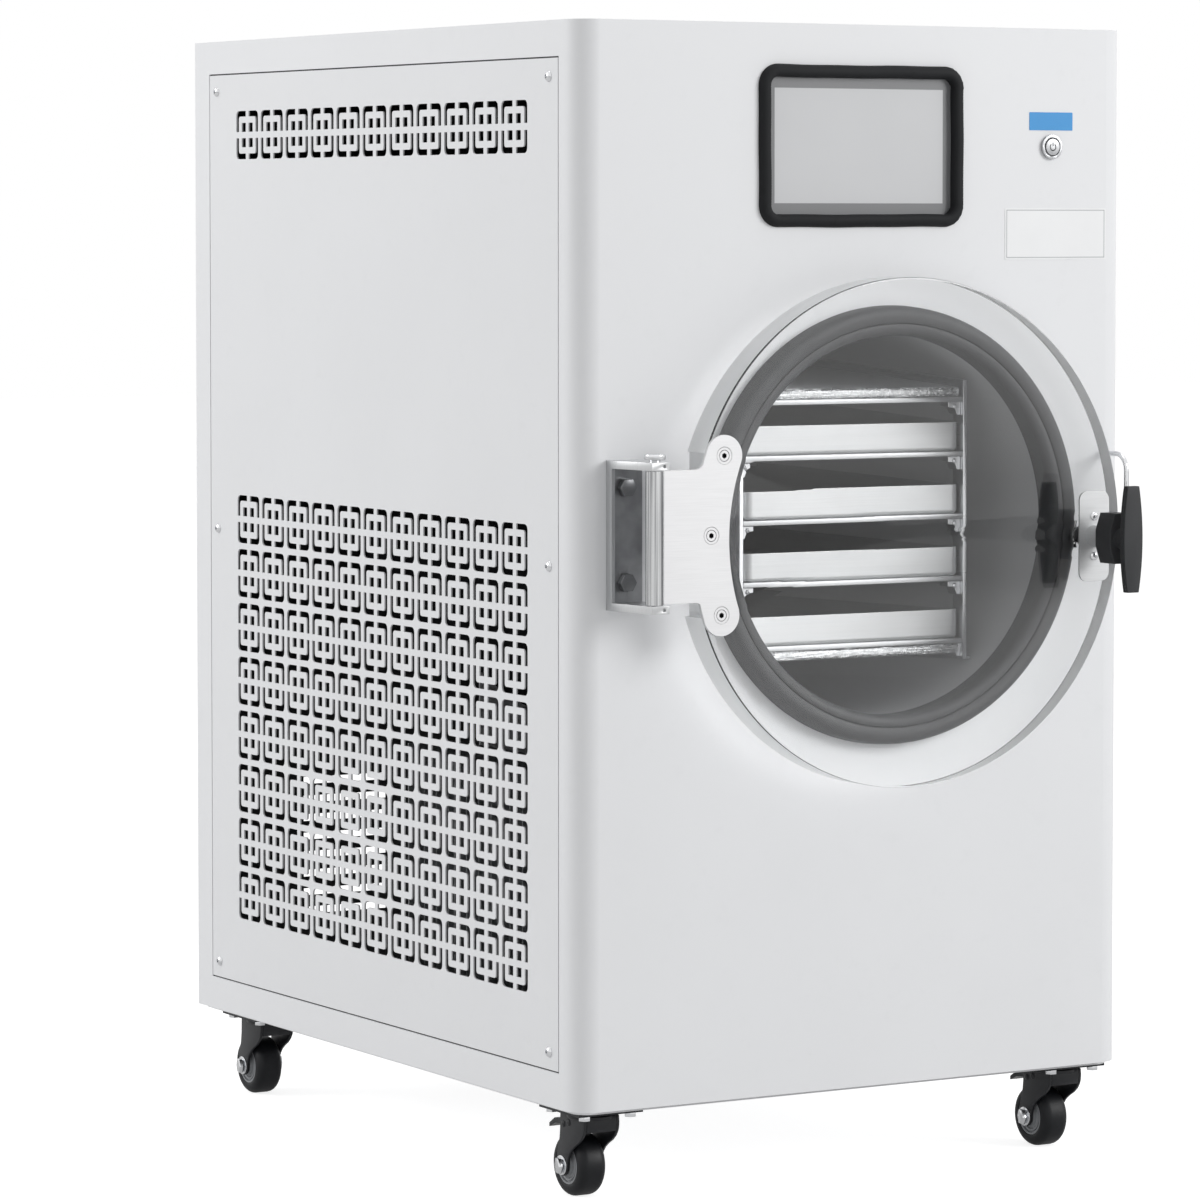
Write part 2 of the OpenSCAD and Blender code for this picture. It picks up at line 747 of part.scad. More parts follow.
module hinge_bracket() {
    half = arm_gap + arm_t;
    block_half = 7.5;
    block_x = -pin_x + 1;
    block_front = pin_out + 7;
    color("silver") difference() {
        union() {
            outward(0, bracket_back_t) translate([bracket_left + bracket_w / 2, hinge_cz])
                square([bracket_w, 2 * half], center = true);
            outward(0, bracket_rim) translate([bracket_left, hinge_cz - half])
                square([bracket_rim_t, 2 * half]);
            for (z = [hinge_cz - half, hinge_cz + arm_gap]) translate([0, front_y, z])
                linear_extrude(arm_t) polygon([
                    [bracket_left, 0], [bracket_left, -bracket_rim],
                    [block_x - block_half, -block_front], [block_x + block_half, -block_front],
                    [block_x + block_half, -pin_out + 7], [bracket_left + bracket_w, -bracket_rim],
                    [bracket_left + bracket_w, 0]
                ]);
        }
        translate([-pin_x, front_y - pin_out, hinge_cz - half - 1]) cylinder(h = 2 * half + 2, r = pin_r);
        outward(-1, bracket_back_t + 1) for (z = hinge_bolt_levels())
            translate([hinge_bolt_x, z]) circle(hinge_bolt_r);
        outward(pin_out + pin_r, block_front + 1) for (side = [-1, 1])
            translate([block_x + 3, hinge_cz + side * (arm_gap + arm_t / 2)]) circle(1.4);
    }
}

module hinge_bolts() {
    color("gray") for (z = hinge_bolt_levels()) {
        outward(-8, bracket_back_t) translate([hinge_bolt_x, z]) circle(hinge_bolt_r);
        outward(bracket_back_t, bracket_back_t + 5) translate([hinge_bolt_x, z]) circle(7.2, $fn = 6);
    }
}

module hinge_pin() {
    half = arm_gap + arm_t;
    head_r = 8;
    color("silver") translate([-pin_x, front_y - pin_out, hinge_cz]) {
        translate([0, 0, -half]) cylinder(h = 2 * half + 2, r = pin_r);
        translate([0, 0, half + 2]) cylinder(h = 4, r = head_r);
    }
}

// Point on the circle of the door screws, at an angle from the leaf's middle
function leaf_point(a) = [
    chamber_x + leaf_screw_r * cos(leaf_start + a),
    door_cz + leaf_screw_r * sin(leaf_start + a)
];

module hinge_leaf() {
    color("silver") difference() {
        union() {
            translate([-pin_x, front_y - pin_out, hinge_cz - barrel_h / 2]) cylinder(h = barrel_h, r = barrel_r);
            outward(door_front, door_front + leaf_t) leaf_outline();
        }
        translate([-pin_x, front_y - pin_out, hinge_cz - barrel_h / 2 - 1])
            cylinder(h = barrel_h + 2, r = pin_r + run_fit);
        door_screw_seats();
    }
}

// Curved band along the door's rim, with a tab that reaches the barrel
module leaf_outline() {
    fillet = 8;
    half = barrel_h / 2;
    tab_end = chamber_x - leaf_screw_r;
    union() {
        difference() {
            translate([chamber_x, door_cz]) circle(leaf_screw_r + leaf_half, $fn = 180);
            translate([chamber_x, door_cz]) circle(leaf_screw_r - leaf_half, $fn = 180);
            for (side = [-1, 1]) translate([chamber_x, door_cz]) rotate(leaf_start + side * leaf_angle)
                translate([-400, side > 0 ? 0 : -400]) square([800, 400]);
            translate([chamber_x, door_cz - 300]) square([400, 600]);
        }
        for (side = [-1, 1]) translate(leaf_point(side * leaf_angle)) circle(leaf_half);
        translate([-pin_x, hinge_cz - half]) square([pin_x + tab_end, 2 * half]);
        difference() {
            for (side = [-1, 1]) translate([tab_end - 8, hinge_cz + side * (half + fillet / 2)])
                square([12, fillet], center = true);
            for (side = [-1, 1]) translate([tab_end - 14, hinge_cz + side * (half + fillet)]) circle(fillet);
        }
    }
}

module door_screw_seats() {
    outward(door_front - 1, door_front + leaf_t + 1) for (k = [-1:1])
        translate(leaf_point(k * leaf_angle)) circle(door_screw_r);
    for (k = [-1:1]) door_screw_cone(k);
}

module door_screw_cone(k) {
    p = leaf_point(k * leaf_angle);
    translate([p[0], front_y - door_front - leaf_t, p[1]]) rotate([-90, 0, 0])
        cylinder(h = door_screw_head_r - door_screw_r, r1 = door_screw_head_r, r2 = door_screw_r);
}

module door_screws() {
    color("silver") {
        for (k = [-1:1]) difference() {
            p = leaf_point(k * leaf_angle);
            union() {
                door_screw_cone(k);
                outward(door_front + leaf_t - door_screw_l, door_front + leaf_t - 0.5)
                    translate(p) circle(door_screw_r);
            }
            outward(door_front + leaf_t - 2.6, door_front + leaf_t + 1) translate(p) circle(2.3, $fn = 6);
        }
        for (side = [-1, 1])
            translate([latch_x, front_y - door_front - latch_plate_t, latch_cz + side * latch_screw_z])
                rotate([-90, 0, 0]) pan_screw(14, 1.5, latch_screw_head_r, 2.2);
    }
}

// ---------- door and latch ----------

module door_disc() {
    chamfer = 1.5;
    color("#dfeef4", 0.4) difference() {
        turned(chamber_x, door_cz) polygon([
            [0, door_back], [door_r - chamfer, door_back], [door_r, door_back + chamfer],
            [door_r, door_front - chamfer], [door_r - chamfer, door_front], [0, door_front]
        ]);
        outward(door_back - 1, door_front + 1)
            translate([-flat_x - 60, hinge_cz - flat_h / 2]) square([60, flat_h]);
        outward(door_back - 1, door_front + 1) translate([latch_x, latch_cz]) circle(shaft_r + run_fit);
        outward(door_back - 1, door_back + collar_sink + collar_t + end_play)
            translate([latch_x, latch_cz]) circle(collar_r + 0.4);
        for (k = [-1:1]) {
            outward(door_front + leaf_t - door_screw_l, door_front + 1)
                translate(leaf_point(k * leaf_angle)) circle(door_screw_r);
            door_screw_cone(k);
        }
        outward(door_front + latch_plate_t - 14, door_front + 1) for (side = [-1, 1])
            translate([latch_x, latch_cz + side * latch_screw_z]) circle(1.5);
    }
}

module latch_plate() {
    color("silver") difference() {
        union() {
            outward(door_front, door_front + latch_plate_t)
                translate([latch_x, latch_cz]) rounded(latch_plate_w, latch_plate_h, 7);
            outward(door_front, door_front + boss_l) translate([latch_x, latch_cz]) circle(boss_r);
        }
        outward(door_front - 1, door_front + boss_l + 1) {
            translate([latch_x, latch_cz]) circle(shaft_r + run_fit);
            for (side = [-1, 1]) translate([latch_x, latch_cz + side * latch_screw_z]) circle(1.5);
        }
    }
}

// Handle: tapered hub, round neck and a T grip that narrows to its ends
module latch_handle() {
    hub_half = 12;
    hub_end = 7.5;
    hub_flat = 6.3;
    bow_r = (pow(grip_h / 2, 2) + pow((grip_w - grip_end_w) / 2, 2)) / (grip_w - grip_end_w);
    color("#1d1e20") difference() {
        union() {
            outward(hub_back, hub_front) translate([latch_x, latch_cz]) polygon([
                [-hub_half, -hub_flat], [-hub_end, -hub_h / 2], [hub_end, -hub_h / 2], [hub_half, -hub_flat],
                [hub_half, hub_flat], [hub_end, hub_h / 2], [-hub_end, hub_h / 2], [-hub_half, hub_flat]
            ]);
            outward(hub_front, grip_back) translate([latch_x, latch_cz]) circle(boss_r);
            outward(grip_back, grip_back + grip_t) translate([latch_x, latch_cz]) intersection() {
                translate([bow_r - grip_w / 2, 0]) circle(bow_r, $fn = 360);
                translate([grip_w / 2 - bow_r, 0]) circle(bow_r, $fn = 360);
                square([grip_w, grip_h], center = true);
            }
        }
        outward(hub_back - 1, hub_front - 4) translate([latch_x, latch_cz]) circle(shaft_r);
    }
}

// Shaft through the door, with a collar behind it and a cross key that enters the cabinet's slot
module latch_shaft() {
    key_t = 3.5;
    tip = -sheet - 1 - key_t;
    color("#26272a") {
        outward(door_back + collar_sink, hub_front - 4) translate([latch_x, latch_cz]) circle(shaft_r);
        outward(key_neck_start, door_back + collar_sink) translate([latch_x, latch_cz]) circle(shaft_tail_r);
        outward(tip + key_t, key_neck_start) translate([latch_x, latch_cz]) circle(key_w / 2);
        outward(door_back + collar_sink, door_back + collar_sink + collar_t)
            translate([latch_x, latch_cz]) circle(collar_r);
        outward(tip, tip + key_t) translate([latch_x, latch_cz]) square([key_w, key_h], center = true);
    }
}

// Bent rod that hangs beside the door's rim and swings over it
module catch_hook() {
    nut_r = 4;
    nut_t = 3;
    tail = sheet + end_play + nut_t;
    bend_out = hook_out - hook_bend;
    color("silver") {
        outward(-tail, bend_out) translate([hook_x, hook_cz]) circle(hook_r);
        outward(end_play, end_play + nut_t) translate([hook_x, hook_cz]) circle(nut_r);
        outward(-tail, -sheet - end_play) translate([hook_x, hook_cz]) circle(nut_r);
        translate([hook_x, front_y - bend_out, hook_cz - hook_bend]) rotate([90, 0, 270])
            rotate_extrude(angle = 90) translate([hook_bend, 0]) circle(hook_r);
        translate([hook_x, front_y - hook_out, hook_cz - hook_bend - hook_leg])
            cylinder(h = hook_leg, r = hook_r);
    }
}

// ---------- display, switch and labels ----------

switch_body_r = 8;
bezel_out = 2.5;

module display_trim() {
    color("#26282a") {
        outward(0, trim_out) translate([display_x, display_cz]) difference() {
            rounded(display_w + 2 * trim_w, display_h + 2 * trim_w, trim_corner_r);
            rounded(display_w, display_h, opening_corner_r);
        }
        outward(-sheet, 0) translate([display_x, display_cz]) difference() {
            rounded(display_w + 2 * lining, display_h + 2 * lining, opening_corner_r + lining);
            rounded(display_w, display_h, opening_corner_r);
        }
    }
}

module display_module() {
    flange = 12;
    color("#8d8d8d") difference() {
        outward(-sheet - module_d, -sheet) translate([display_x, display_cz])
            square([display_w + 2 * flange, display_h + 2 * flange], center = true);
        outward(-sheet - glass_t - 1, 1) translate([display_x, display_cz])
            square([display_w, display_h], center = true);
    }
}

module display_glass() {
    color("#cbcbcb") outward(-sheet - glass_t - 1, -sheet - 1) translate([display_x, display_cz])
        square([display_w, display_h], center = true);
}

module power_switch_body() {
    body_l = 28;
    well = 4;
    color("silver") difference() {
        union() {
            outward(0, bezel_out) translate([switch_x, switch_cz]) circle(bezel_r);
            outward(-body_l, 0) translate([switch_x, switch_cz]) circle(switch_body_r);
            outward(-sheet - 3, -sheet) translate([switch_x, switch_cz]) circle(11.5, $fn = 6);
        }
        outward(-well, bezel_out + 1) translate([switch_x, switch_cz]) circle(button_r + 0.4);
    }
}

module power_button() {
    color("gainsboro") outward(-1, bezel_out + 0.6) translate([switch_x, switch_cz]) circle(button_r);
}

module label_plates() {
    label_t = 0.3;
    color("#2e96d6") outward(0, label_t) translate([switch_x, switch_cz + 20]) square([41, 14], center = true);
    color("white") outward(0, label_t) translate([notice_x, switch_cz - 67.5]) square([96, 40], center = true);
}

// ---------- refrigeration set ----------

module compressor() {
    color("#1b1c1e") difference() {
        compressor_body();
        translate([compressor_x - 30, compressor_y - 40, compressor_top - 20]) cylinder(h = 40, r = pipe_r);
        translate([compressor_x + 50, compressor_y + 50, suction_z]) rotate([0, 90, 0])
            cylinder(h = 60, r = pipe_r);
    }
}

module compressor_body() {
    shoulder = 42;
    base_top = base_z + mount_h;
    union() {
        translate([compressor_x, compressor_y, base_top]) rotate_extrude() difference() {
            union() {
                square([compressor_r, compressor_h - shoulder]);
                square([compressor_r - shoulder, compressor_h]);
                translate([compressor_r - shoulder, compressor_h - shoulder]) circle(shoulder);
            }
            translate([-2 * compressor_r, -1]) square([2 * compressor_r, compressor_h + 2]);
        }
        box([compressor_x - 90, compressor_y - 90, base_top - 3], [compressor_x + 90, compressor_y + 90, base_top]);
        box([compressor_x + compressor_r - 6, compressor_y - 24, base_top + 40],
            [compressor_x + compressor_r + 30, compressor_y + 24, base_top + 100]);
    }
}

module compressor_mounts() {
    color("#151515") for (sx = [-1, 1], sy = [-1, 1])
        translate([compressor_x + sx * 76, compressor_y + sy * 76, base_z]) cylinder(h = mount_h - 3, r = 11);
}

// Finned block that faces the left vents
module condenser() {
    fins = 22;
    plate = 2;
    tube_r = 4;
    x0 = condenser_x - condenser_d / 2;
    x1 = condenser_x + condenser_d / 2;
    z0 = condenser_z - condenser_h / 2;
    z1 = condenser_z + condenser_h / 2;
    color("lightgray") {
        for (side = [-1, 1]) {
            y = condenser_y + side * condenser_w / 2;
            box([x0, min(y, y - side * plate), base_z], [x1, max(y, y - side * plate), z1]);
        }
        for (k = [1:fins]) {
            y = condenser_y - condenser_w / 2 + k * condenser_w / (fins + 1);
            box([x0 + 4, y - 0.4, z0], [x1 - 4, y + 0.4, z1 - 4]);
        }
        for (row = [0:5]) translate([condenser_x, condenser_y - condenser_w / 2, z0 + 24 + row * 38])
            rotate([-90, 0, 0]) cylinder(h = condenser_w, r = tube_r);
    }
}

module fan_shroud() {
    x0 = condenser_x + condenser_d / 2;
    wall = 1.5;
    color("#2b2c2e") difference() {
        union() {
            sideways(x0, x0 + wall) fan_square(condenser_w, condenser_h);
            sideways(x0, x0 + shroud_d) difference() {
                translate([condenser_y, condenser_z]) circle(fan_r + 4 + wall, $fn = 96);
                translate([condenser_y, condenser_z]) circle(fan_r + 4, $fn = 96);
            }
            sideways(x0 + shroud_d - 4, x0 + shroud_d) for (a = [45, 135])
                translate([condenser_y, condenser_z]) rotate(a) square([2 * fan_r + 9, 8], center = true);
            sideways(x0 + shroud_d - 4, x0 + shroud_d + 30) translate([condenser_y, condenser_z]) circle(30);
        }
        sideways(x0 - 1, x0 + shroud_d - 4) translate([condenser_y, condenser_z]) circle(fan_r + 4, $fn = 96);
        sideways(x0 - 1, x0 + shroud_d + 10) translate([condenser_y, condenser_z]) circle(fan_shaft_r + run_fit);
    }
}

fan_shaft_r = 4;

module fan_square(w, h) {
    translate([condenser_y, condenser_z]) square([w, h], center = true);
}

module fan_rotor() {
    x0 = condenser_x + condenser_d / 2;
    hub_r = 26;
    hub_x = x0 + 3;
    hub_l = shroud_d - 11;
    chord = 42;
    color("silver") {
        sideways(hub_x, hub_x + hub_l) translate([condenser_y, condenser_z]) circle(hub_r);
        sideways(hub_x, x0 + shroud_d + 9) translate([condenser_y, condenser_z]) circle(fan_shaft_r);
        translate([hub_x + hub_l / 2, condenser_y, condenser_z]) for (k = [0:4]) rotate([72 * k, 0, 0])
            translate([0, 0, hub_r - 2]) rotate([0, 0, 24]) translate([-0.8, -chord / 2, 0])
                cube([1.6, chord, fan_r - hub_r - 4]);
    }
}

// A run of round tube with ball corners through a list of points
module tube_run(points, r) {
    for (i = [0:len(points) - 2]) {
        step = points[i + 1] - points[i];
        length = norm(step);
        translate(points[i]) rotate([0, acos(step[2] / length), atan2(step[1], step[0])]) cylinder(h = length, r = r);
    }
    for (i = [1:len(points) - 2]) translate(points[i]) sphere(r);
}

drier_x = 40;
drier_back = 150;
drier_rise = 60;
drier_y = front_y + drier_back;
drier_z = base_z + drier_rise;
pipe_bend_x = 66;

module refrigerant_pipes() {
    over_z = compressor_top + 16;
    low_z = condenser_z - condenser_h / 2 + 30;
    feed_y = condenser_y - condenser_w / 2 - 13;
    coil_side = chamber_x + coil_r + coil_tube_r;
    coil_in_y = front_y + coil_start;
    coil_out_y = front_y + chamber_depth - coil_end;
    discharge_x = compressor_x - 30;
    discharge_y = compressor_y - 40;
    color("#b87333") {
        tube_run([
            [discharge_x, discharge_y, compressor_top - 20], [discharge_x, discharge_y, over_z],
            [condenser_x + pipe_bend_x, discharge_y, over_z], [condenser_x + pipe_bend_x, feed_y, over_z],
            [condenser_x, feed_y, over_z],
            [condenser_x, condenser_y - condenser_w / 2, over_z]
        ], pipe_r);
        tube_run([
            [condenser_x, condenser_y - condenser_w / 2, low_z], [condenser_x, feed_y, low_z],
            [drier_x - 80, feed_y, low_z], [drier_x - 80, drier_y, drier_z], [drier_x - 54, drier_y, drier_z]
        ], pipe_r);
        tube_run([
            [drier_x + 54, drier_y, drier_z], [riser_x, drier_y, drier_z], [riser_x, drier_y, chamber_cz],
            [riser_x, coil_in_y, chamber_cz], [coil_side, coil_in_y, chamber_cz]
        ], pipe_r);
        tube_run([
            [coil_side, coil_out_y, chamber_cz], [riser_x, coil_out_y, chamber_cz],
            [riser_x, coil_out_y, suction_z], [riser_x, compressor_y + 50, suction_z],
            [compressor_x + 50, compressor_y + 50, suction_z]
        ], pipe_r);
    }
}

module filter_drier() {
    color("#b06a35") translate([drier_x - 54, drier_y, drier_z]) rotate([0, 90, 0]) {
        cylinder(h = 18, r1 = 5, r2 = 14);
        translate([0, 0, 18]) cylinder(h = 72, r = 14);
        translate([0, 0, 90]) cylinder(h = 18, r1 = 14, r2 = 5);
    }
}

// ---------- electrics and rear fittings ----------

shelf_z = chamber_cz + jacket_r + 4;

module equipment_shelf() {
    half = cab_w / 2 - 2 * sheet;
    color("silver") {
        box([-half, front_y + 24, shelf_z], [half, rear_y - 24, shelf_z + sheet]);
        for (side = [-1, 1]) box([side > 0 ? half - sheet : -half, front_y + 24, shelf_z],
            [side > 0 ? half : -half + sheet, rear_y - 24, shelf_z + 18]);
    }
}

module control_box() {
    floor_z = shelf_z + sheet;
    wall = 1.2;
    color("lightgray") difference() {
        union() {
            box([-150, front_y + 180, floor_z], [110, front_y + 420, floor_z + 90]);
            box([-162, front_y + 180, floor_z], [122, front_y + 420, floor_z + wall]);
        }
        box([-150 + wall, front_y + 180 + wall, floor_z - 1], [110 - wall, front_y + 420 - wall, floor_z + 90 - wall]);
        for (i = [0:7]) box([-151, front_y + 210 + i * 24, floor_z + 40], [111, front_y + 218 + i * 24, floor_z + 70]);
    }
}

inlet_x = -150;
inlet_z = base_z + 560;
inlet_w = 28;
inlet_h = 22;

module power_inlet() {
    recess = 18;
    color("#1a1a1a") difference() {
        union() {
            translate([0, rear_y + 3, 0]) rotate([90, 0, 0]) linear_extrude(3)
                translate([inlet_x, inlet_z]) rounded(50, 28, 3);
            translate([0, rear_y, 0]) rotate([90, 0, 0]) linear_extrude(28)
                translate([inlet_x, inlet_z]) square([inlet_w, inlet_h], center = true);
        }
        translate([0, rear_y + 4, 0]) rotate([90, 0, 0]) linear_extrude(recess)
            translate([inlet_x, inlet_z]) square([24, 17], center = true);
    }
    color("silver") for (k = [-1:1])
        box([inlet_x + k * 7 - 2, rear_y + 3 - recess, inlet_z + (k == 0 ? 2 : -2) - 1],
            [inlet_x + k * 7 + 2, rear_y + 3 - 7, inlet_z + (k == 0 ? 2 : -2) + 1]);
}

// Pipe from the chamber's back to the hose end behind the machine
module vacuum_port() {
    color("silver") translate([chamber_x, 0, vacuum_z]) rotate([-90, 0, 0]) difference() {
        union() {
            translate([0, 0, front_y + chamber_depth]) cylinder(h = cab_d - chamber_depth + rear_reach, r = vacuum_r);
            translate([0, 0, rear_y]) cylinder(h = 5, r = 24);
        }
        translate([0, 0, front_y + chamber_depth - 1])
            cylinder(h = cab_d - chamber_depth + rear_reach + 2, r = vacuum_bore_r);
    }
}

drain_x = chamber_x;
drain_z = base_z + 222;
drain_r = 8;
drain_bore_r = 6;
stem_r = 3;
valve_y = rear_y + 18;

// Pipe from the chamber's lowest point to a ball valve outside the rear panel
module drain_valve() {
    down_y = front_y + chamber_depth - 30;
    body_r = 13;
    color("#c9a24b") difference() {
        union() {
            translate([drain_x, down_y, drain_z]) cylinder(h = chamber_cz - shell_r + 1 - drain_z, r = drain_r);
            translate([drain_x, down_y, drain_z]) sphere(drain_r);
            translate([drain_x, down_y, drain_z]) rotate([-90, 0, 0]) cylinder(h = rear_y + rear_reach - down_y, r = drain_r);
            translate([drain_x, rear_y + 6, drain_z]) rotate([-90, 0, 0]) cylinder(h = 24, r = body_r);
            translate([drain_x, rear_y, drain_z]) rotate([-90, 0, 0]) cylinder(h = 4, r = 14);
            translate([drain_x, valve_y, drain_z]) cylinder(h = body_r + 4, r = stem_r);
        }
        translate([drain_x, rear_y + 12, drain_z]) rotate([-90, 0, 0]) cylinder(h = rear_reach, r = drain_bore_r);
    }
}

module drain_lever() {
    lever_z = drain_z + 13 + 0.6;
    color("#c0392b") difference() {
        union() {
            translate([drain_x, valve_y, lever_z]) cylinder(h = 3, r = 7);
            box([drain_x, valve_y - 5, lever_z], [drain_x + 55, valve_y + 5, lever_z + 3]);
        }
        translate([drain_x, valve_y, lever_z - 1]) cylinder(h = 5, r = stem_r + run_fit);
    }
}

// ---------- casters ----------

caster_bolt_r = 3;

module at_plate_bolts() {
    for (sx = [-1, 1], sy = [-1, 1])
        translate([sx * (plate_w / 2 - bolt_inset_w), sy * (plate_l / 2 - bolt_inset_l), 0]) children();
}

// Top plates with their raceways and riveted king pins
module caster_plates() {
    bottom = plate_top - plate_t;
    rivet_t = 2;
    color("#141517") for (i = [1:4]) translate(caster_pos(i)) difference() {
        union() {
            translate([-plate_w / 2, -plate_l / 2, bottom]) cube([plate_w, plate_l, plate_t]);
            translate([0, 0, bottom - race_h]) cylinder(h = race_h, r1 = race_r - 2, r2 = race_r);
            translate([0, 0, fork_top - fork_t - end_play - rivet_t]) cylinder(h = bottom - fork_top + fork_t + 2, r = king_r);
            translate([0, 0, fork_top - fork_t - end_play - rivet_t]) cylinder(h = rivet_t, r = 7);
        }
        at_plate_bolts() translate([0, 0, bottom - 1]) cylinder(h = plate_t + 2, r = caster_bolt_r);
    }
}

module caster_bolts() {
    head_h = 3.5;
    color("silver") for (i = [1:4]) translate(caster_pos(i)) at_plate_bolts() {
        translate([0, 0, plate_top - plate_t]) cylinder(h = plate_t + pan_t + 4, r = caster_bolt_r);
        translate([0, 0, plate_top - plate_t - head_h]) cylinder(h = head_h, r = 4.8, $fn = 6);
    }
}

// Pressed fork with its two legs, the axle bolt and the nut
module fork(i) {
    braked = i < 3;
    color("#101214") translate(caster_pos(i)) difference() {
        union() {
            translate([0, 0, fork_top - fork_t]) cylinder(h = fork_t, r = race_r + 2);
            fork_crown();
            for (x = [-leg_x - leg_t, leg_x]) sideways(x, x + leg_t) fork_leg();
            if (braked) sideways(-leg_x - leg_t, leg_x + leg_t)
                translate([pedal_pivot_y, pedal_pivot_z]) circle(pedal_pin_r);
        }
        translate([0, 0, fork_top - fork_t - 1]) cylinder(h = fork_t + 2, r = king_r + run_fit);
        sideways(-leg_x - leg_t - 1, leg_x + leg_t + 1) translate([trail, axle_z]) circle(axle_r);
    }
    color("silver") translate(caster_pos(i)) axle_bolt();
}

module fork_crown() {
    half = leg_x + leg_t;
    box([-half, -16, fork_top - fork_t], [half, 12, fork_top]);
    box([-half, -16, fork_top - 16], [half, -16 + leg_t, fork_top]);
}

module fork_leg() {
    polygon([
        [-16, fork_top], [18, fork_top], [20, fork_top - 14], [trail + 8, axle_z],
        [trail - 8, axle_z], [-16, fork_top - 16]
    ]);
    translate([trail, axle_z]) circle(8);
}

module axle_bolt() {
    half = leg_x + leg_t;
    sideways(-half, half) translate([trail, axle_z]) circle(axle_r);
    sideways(-half - 4.5, -half) translate([trail, axle_z]) circle(6.5, $fn = 6);
    sideways(half, half + 5) translate([trail, axle_z]) circle(6.5, $fn = 6);
}

module fork_1() fork(1);
module fork_2() fork(2);
module fork_3() fork(3);
module fork_4() fork(4);

// Round-edged tyre on its hub
module wheel(i) {
    tread_r = 6;
    half = wheel_w / 2;
    hub_r = 13;
    hub_half = half + leg_gap - end_play;
    color("#0c0d0e") translate(caster_pos(i)) translate([0, trail, axle_z]) rotate([0, 90, 0])
        rotate_extrude() difference() {
            union() {
                translate([0, -half + tread_r]) square([wheel_r, wheel_w - 2 * tread_r]);
                translate([0, -half]) square([wheel_r - tread_r, wheel_w]);
                for (side = [-1, 1]) translate([wheel_r - tread_r, side * (half - tread_r)]) circle(tread_r);
                translate([0, -hub_half]) square([7, 2 * hub_half]);
            }
            translate([-wheel_r, -half - 5]) square([wheel_r + axle_r + 0.08, wheel_w + 10]);
            for (side = [-1, 1]) translate([7, side > 0 ? half - 2 : -half]) square([hub_r - 7, 2]);
        }
}

module wheel_1() wheel(1);
module wheel_2() wheel(2);
module wheel_3() wheel(3);
module wheel_4() wheel(4);

// Pedal that presses a shoe on the tyre
module brake_pedal(i) {
    hub_r = 4;
    half = leg_x - end_play;
    pad_w = 20;
    color("#101214") translate(caster_pos(i)) difference() {
        union() {
            sideways(-half, half) translate([pedal_pivot_y, pedal_pivot_z]) circle(hub_r);
            sideways(-pad_w / 2, pad_w / 2) polygon([
                [pedal_pivot_y, pedal_pivot_z - 1], [pedal_pivot_y, pedal_pivot_z + 3.5],
                [38, pedal_pivot_z + 1], [46, pedal_pivot_z - 4], [46, pedal_pivot_z - 7], [37, pedal_pivot_z - 3]
            ]);
        }
        sideways(-half - 1, half + 1) translate([pedal_pivot_y, pedal_pivot_z]) circle(pedal_pin_r + run_fit);
    }
}

module brake_pedal_1() brake_pedal(1);
module brake_pedal_2() brake_pedal(2);

cabinet_shell();
top_cover();
base_pan();
rear_panel();
left_panel();
right_panel();
panel_screws();
chamber();
chamber_gasket();
chamber_jacket();
evaporator_coil();
rack_frame();
shelf_plates();
rack_insulation();
shelf_heaters();
tray_1();
tray_2();
tray_3();
tray_4();
hinge_bracket();
hinge_bolts();
hinge_pin();
display_trim();
display_module();
display_glass();
power_switch_body();
label_plates();
compressor();
compressor_mounts();
condenser();
fan_shroud();
refrigerant_pipes();
filter_drier();
control_box();
equipment_shelf();
power_inlet();
vacuum_port();
drain_valve();
caster_plates();
caster_bolts();
door_disc();
hinge_leaf();
door_screws();
latch_plate();
latch_handle();
latch_shaft();
catch_hook();
power_button();
fan_rotor();
drain_lever();
fork_1();
fork_2();
fork_3();
fork_4();
wheel_1();
wheel_2();
wheel_3();
wheel_4();
brake_pedal_1();
brake_pedal_2();
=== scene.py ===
import json
import math
import random

import bpy
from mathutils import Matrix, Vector


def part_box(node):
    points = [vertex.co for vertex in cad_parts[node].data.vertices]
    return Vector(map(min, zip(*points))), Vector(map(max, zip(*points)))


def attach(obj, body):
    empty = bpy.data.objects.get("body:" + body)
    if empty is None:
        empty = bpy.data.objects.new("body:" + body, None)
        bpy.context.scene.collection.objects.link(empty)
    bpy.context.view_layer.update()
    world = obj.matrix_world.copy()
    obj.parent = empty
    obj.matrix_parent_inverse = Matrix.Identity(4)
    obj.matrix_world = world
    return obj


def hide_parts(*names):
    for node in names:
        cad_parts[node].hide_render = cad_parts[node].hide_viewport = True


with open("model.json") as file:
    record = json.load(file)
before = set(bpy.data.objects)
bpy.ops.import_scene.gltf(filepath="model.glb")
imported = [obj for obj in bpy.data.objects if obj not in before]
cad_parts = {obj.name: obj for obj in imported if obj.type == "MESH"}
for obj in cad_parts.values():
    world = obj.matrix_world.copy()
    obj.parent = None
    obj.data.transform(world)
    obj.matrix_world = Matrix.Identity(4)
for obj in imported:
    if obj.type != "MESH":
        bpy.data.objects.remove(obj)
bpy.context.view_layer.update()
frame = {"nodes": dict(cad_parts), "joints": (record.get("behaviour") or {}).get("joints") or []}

MM = 0.001
SAME, NEAR = 1e-6, 1e-5  # points this close are doubles, or lie on one line
SHELL_LOW, SHELL_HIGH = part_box("cabinet_shell")
FRONT, REAR = SHELL_LOW.y, SHELL_HIGH.y  # faces of the front sheet and the rear panel
BASE, HALF_W = SHELL_LOW.z, SHELL_HIGH.x  # the cabinet's bottom edge and half its width
random.seed(7)


# ---------- making pieces ----------

def at(x, out, z):
    """A point so many millimetres right of the middle, out from the front sheet and above the bottom edge."""
    return Vector((x * MM, FRONT - out * MM, BASE + z * MM))


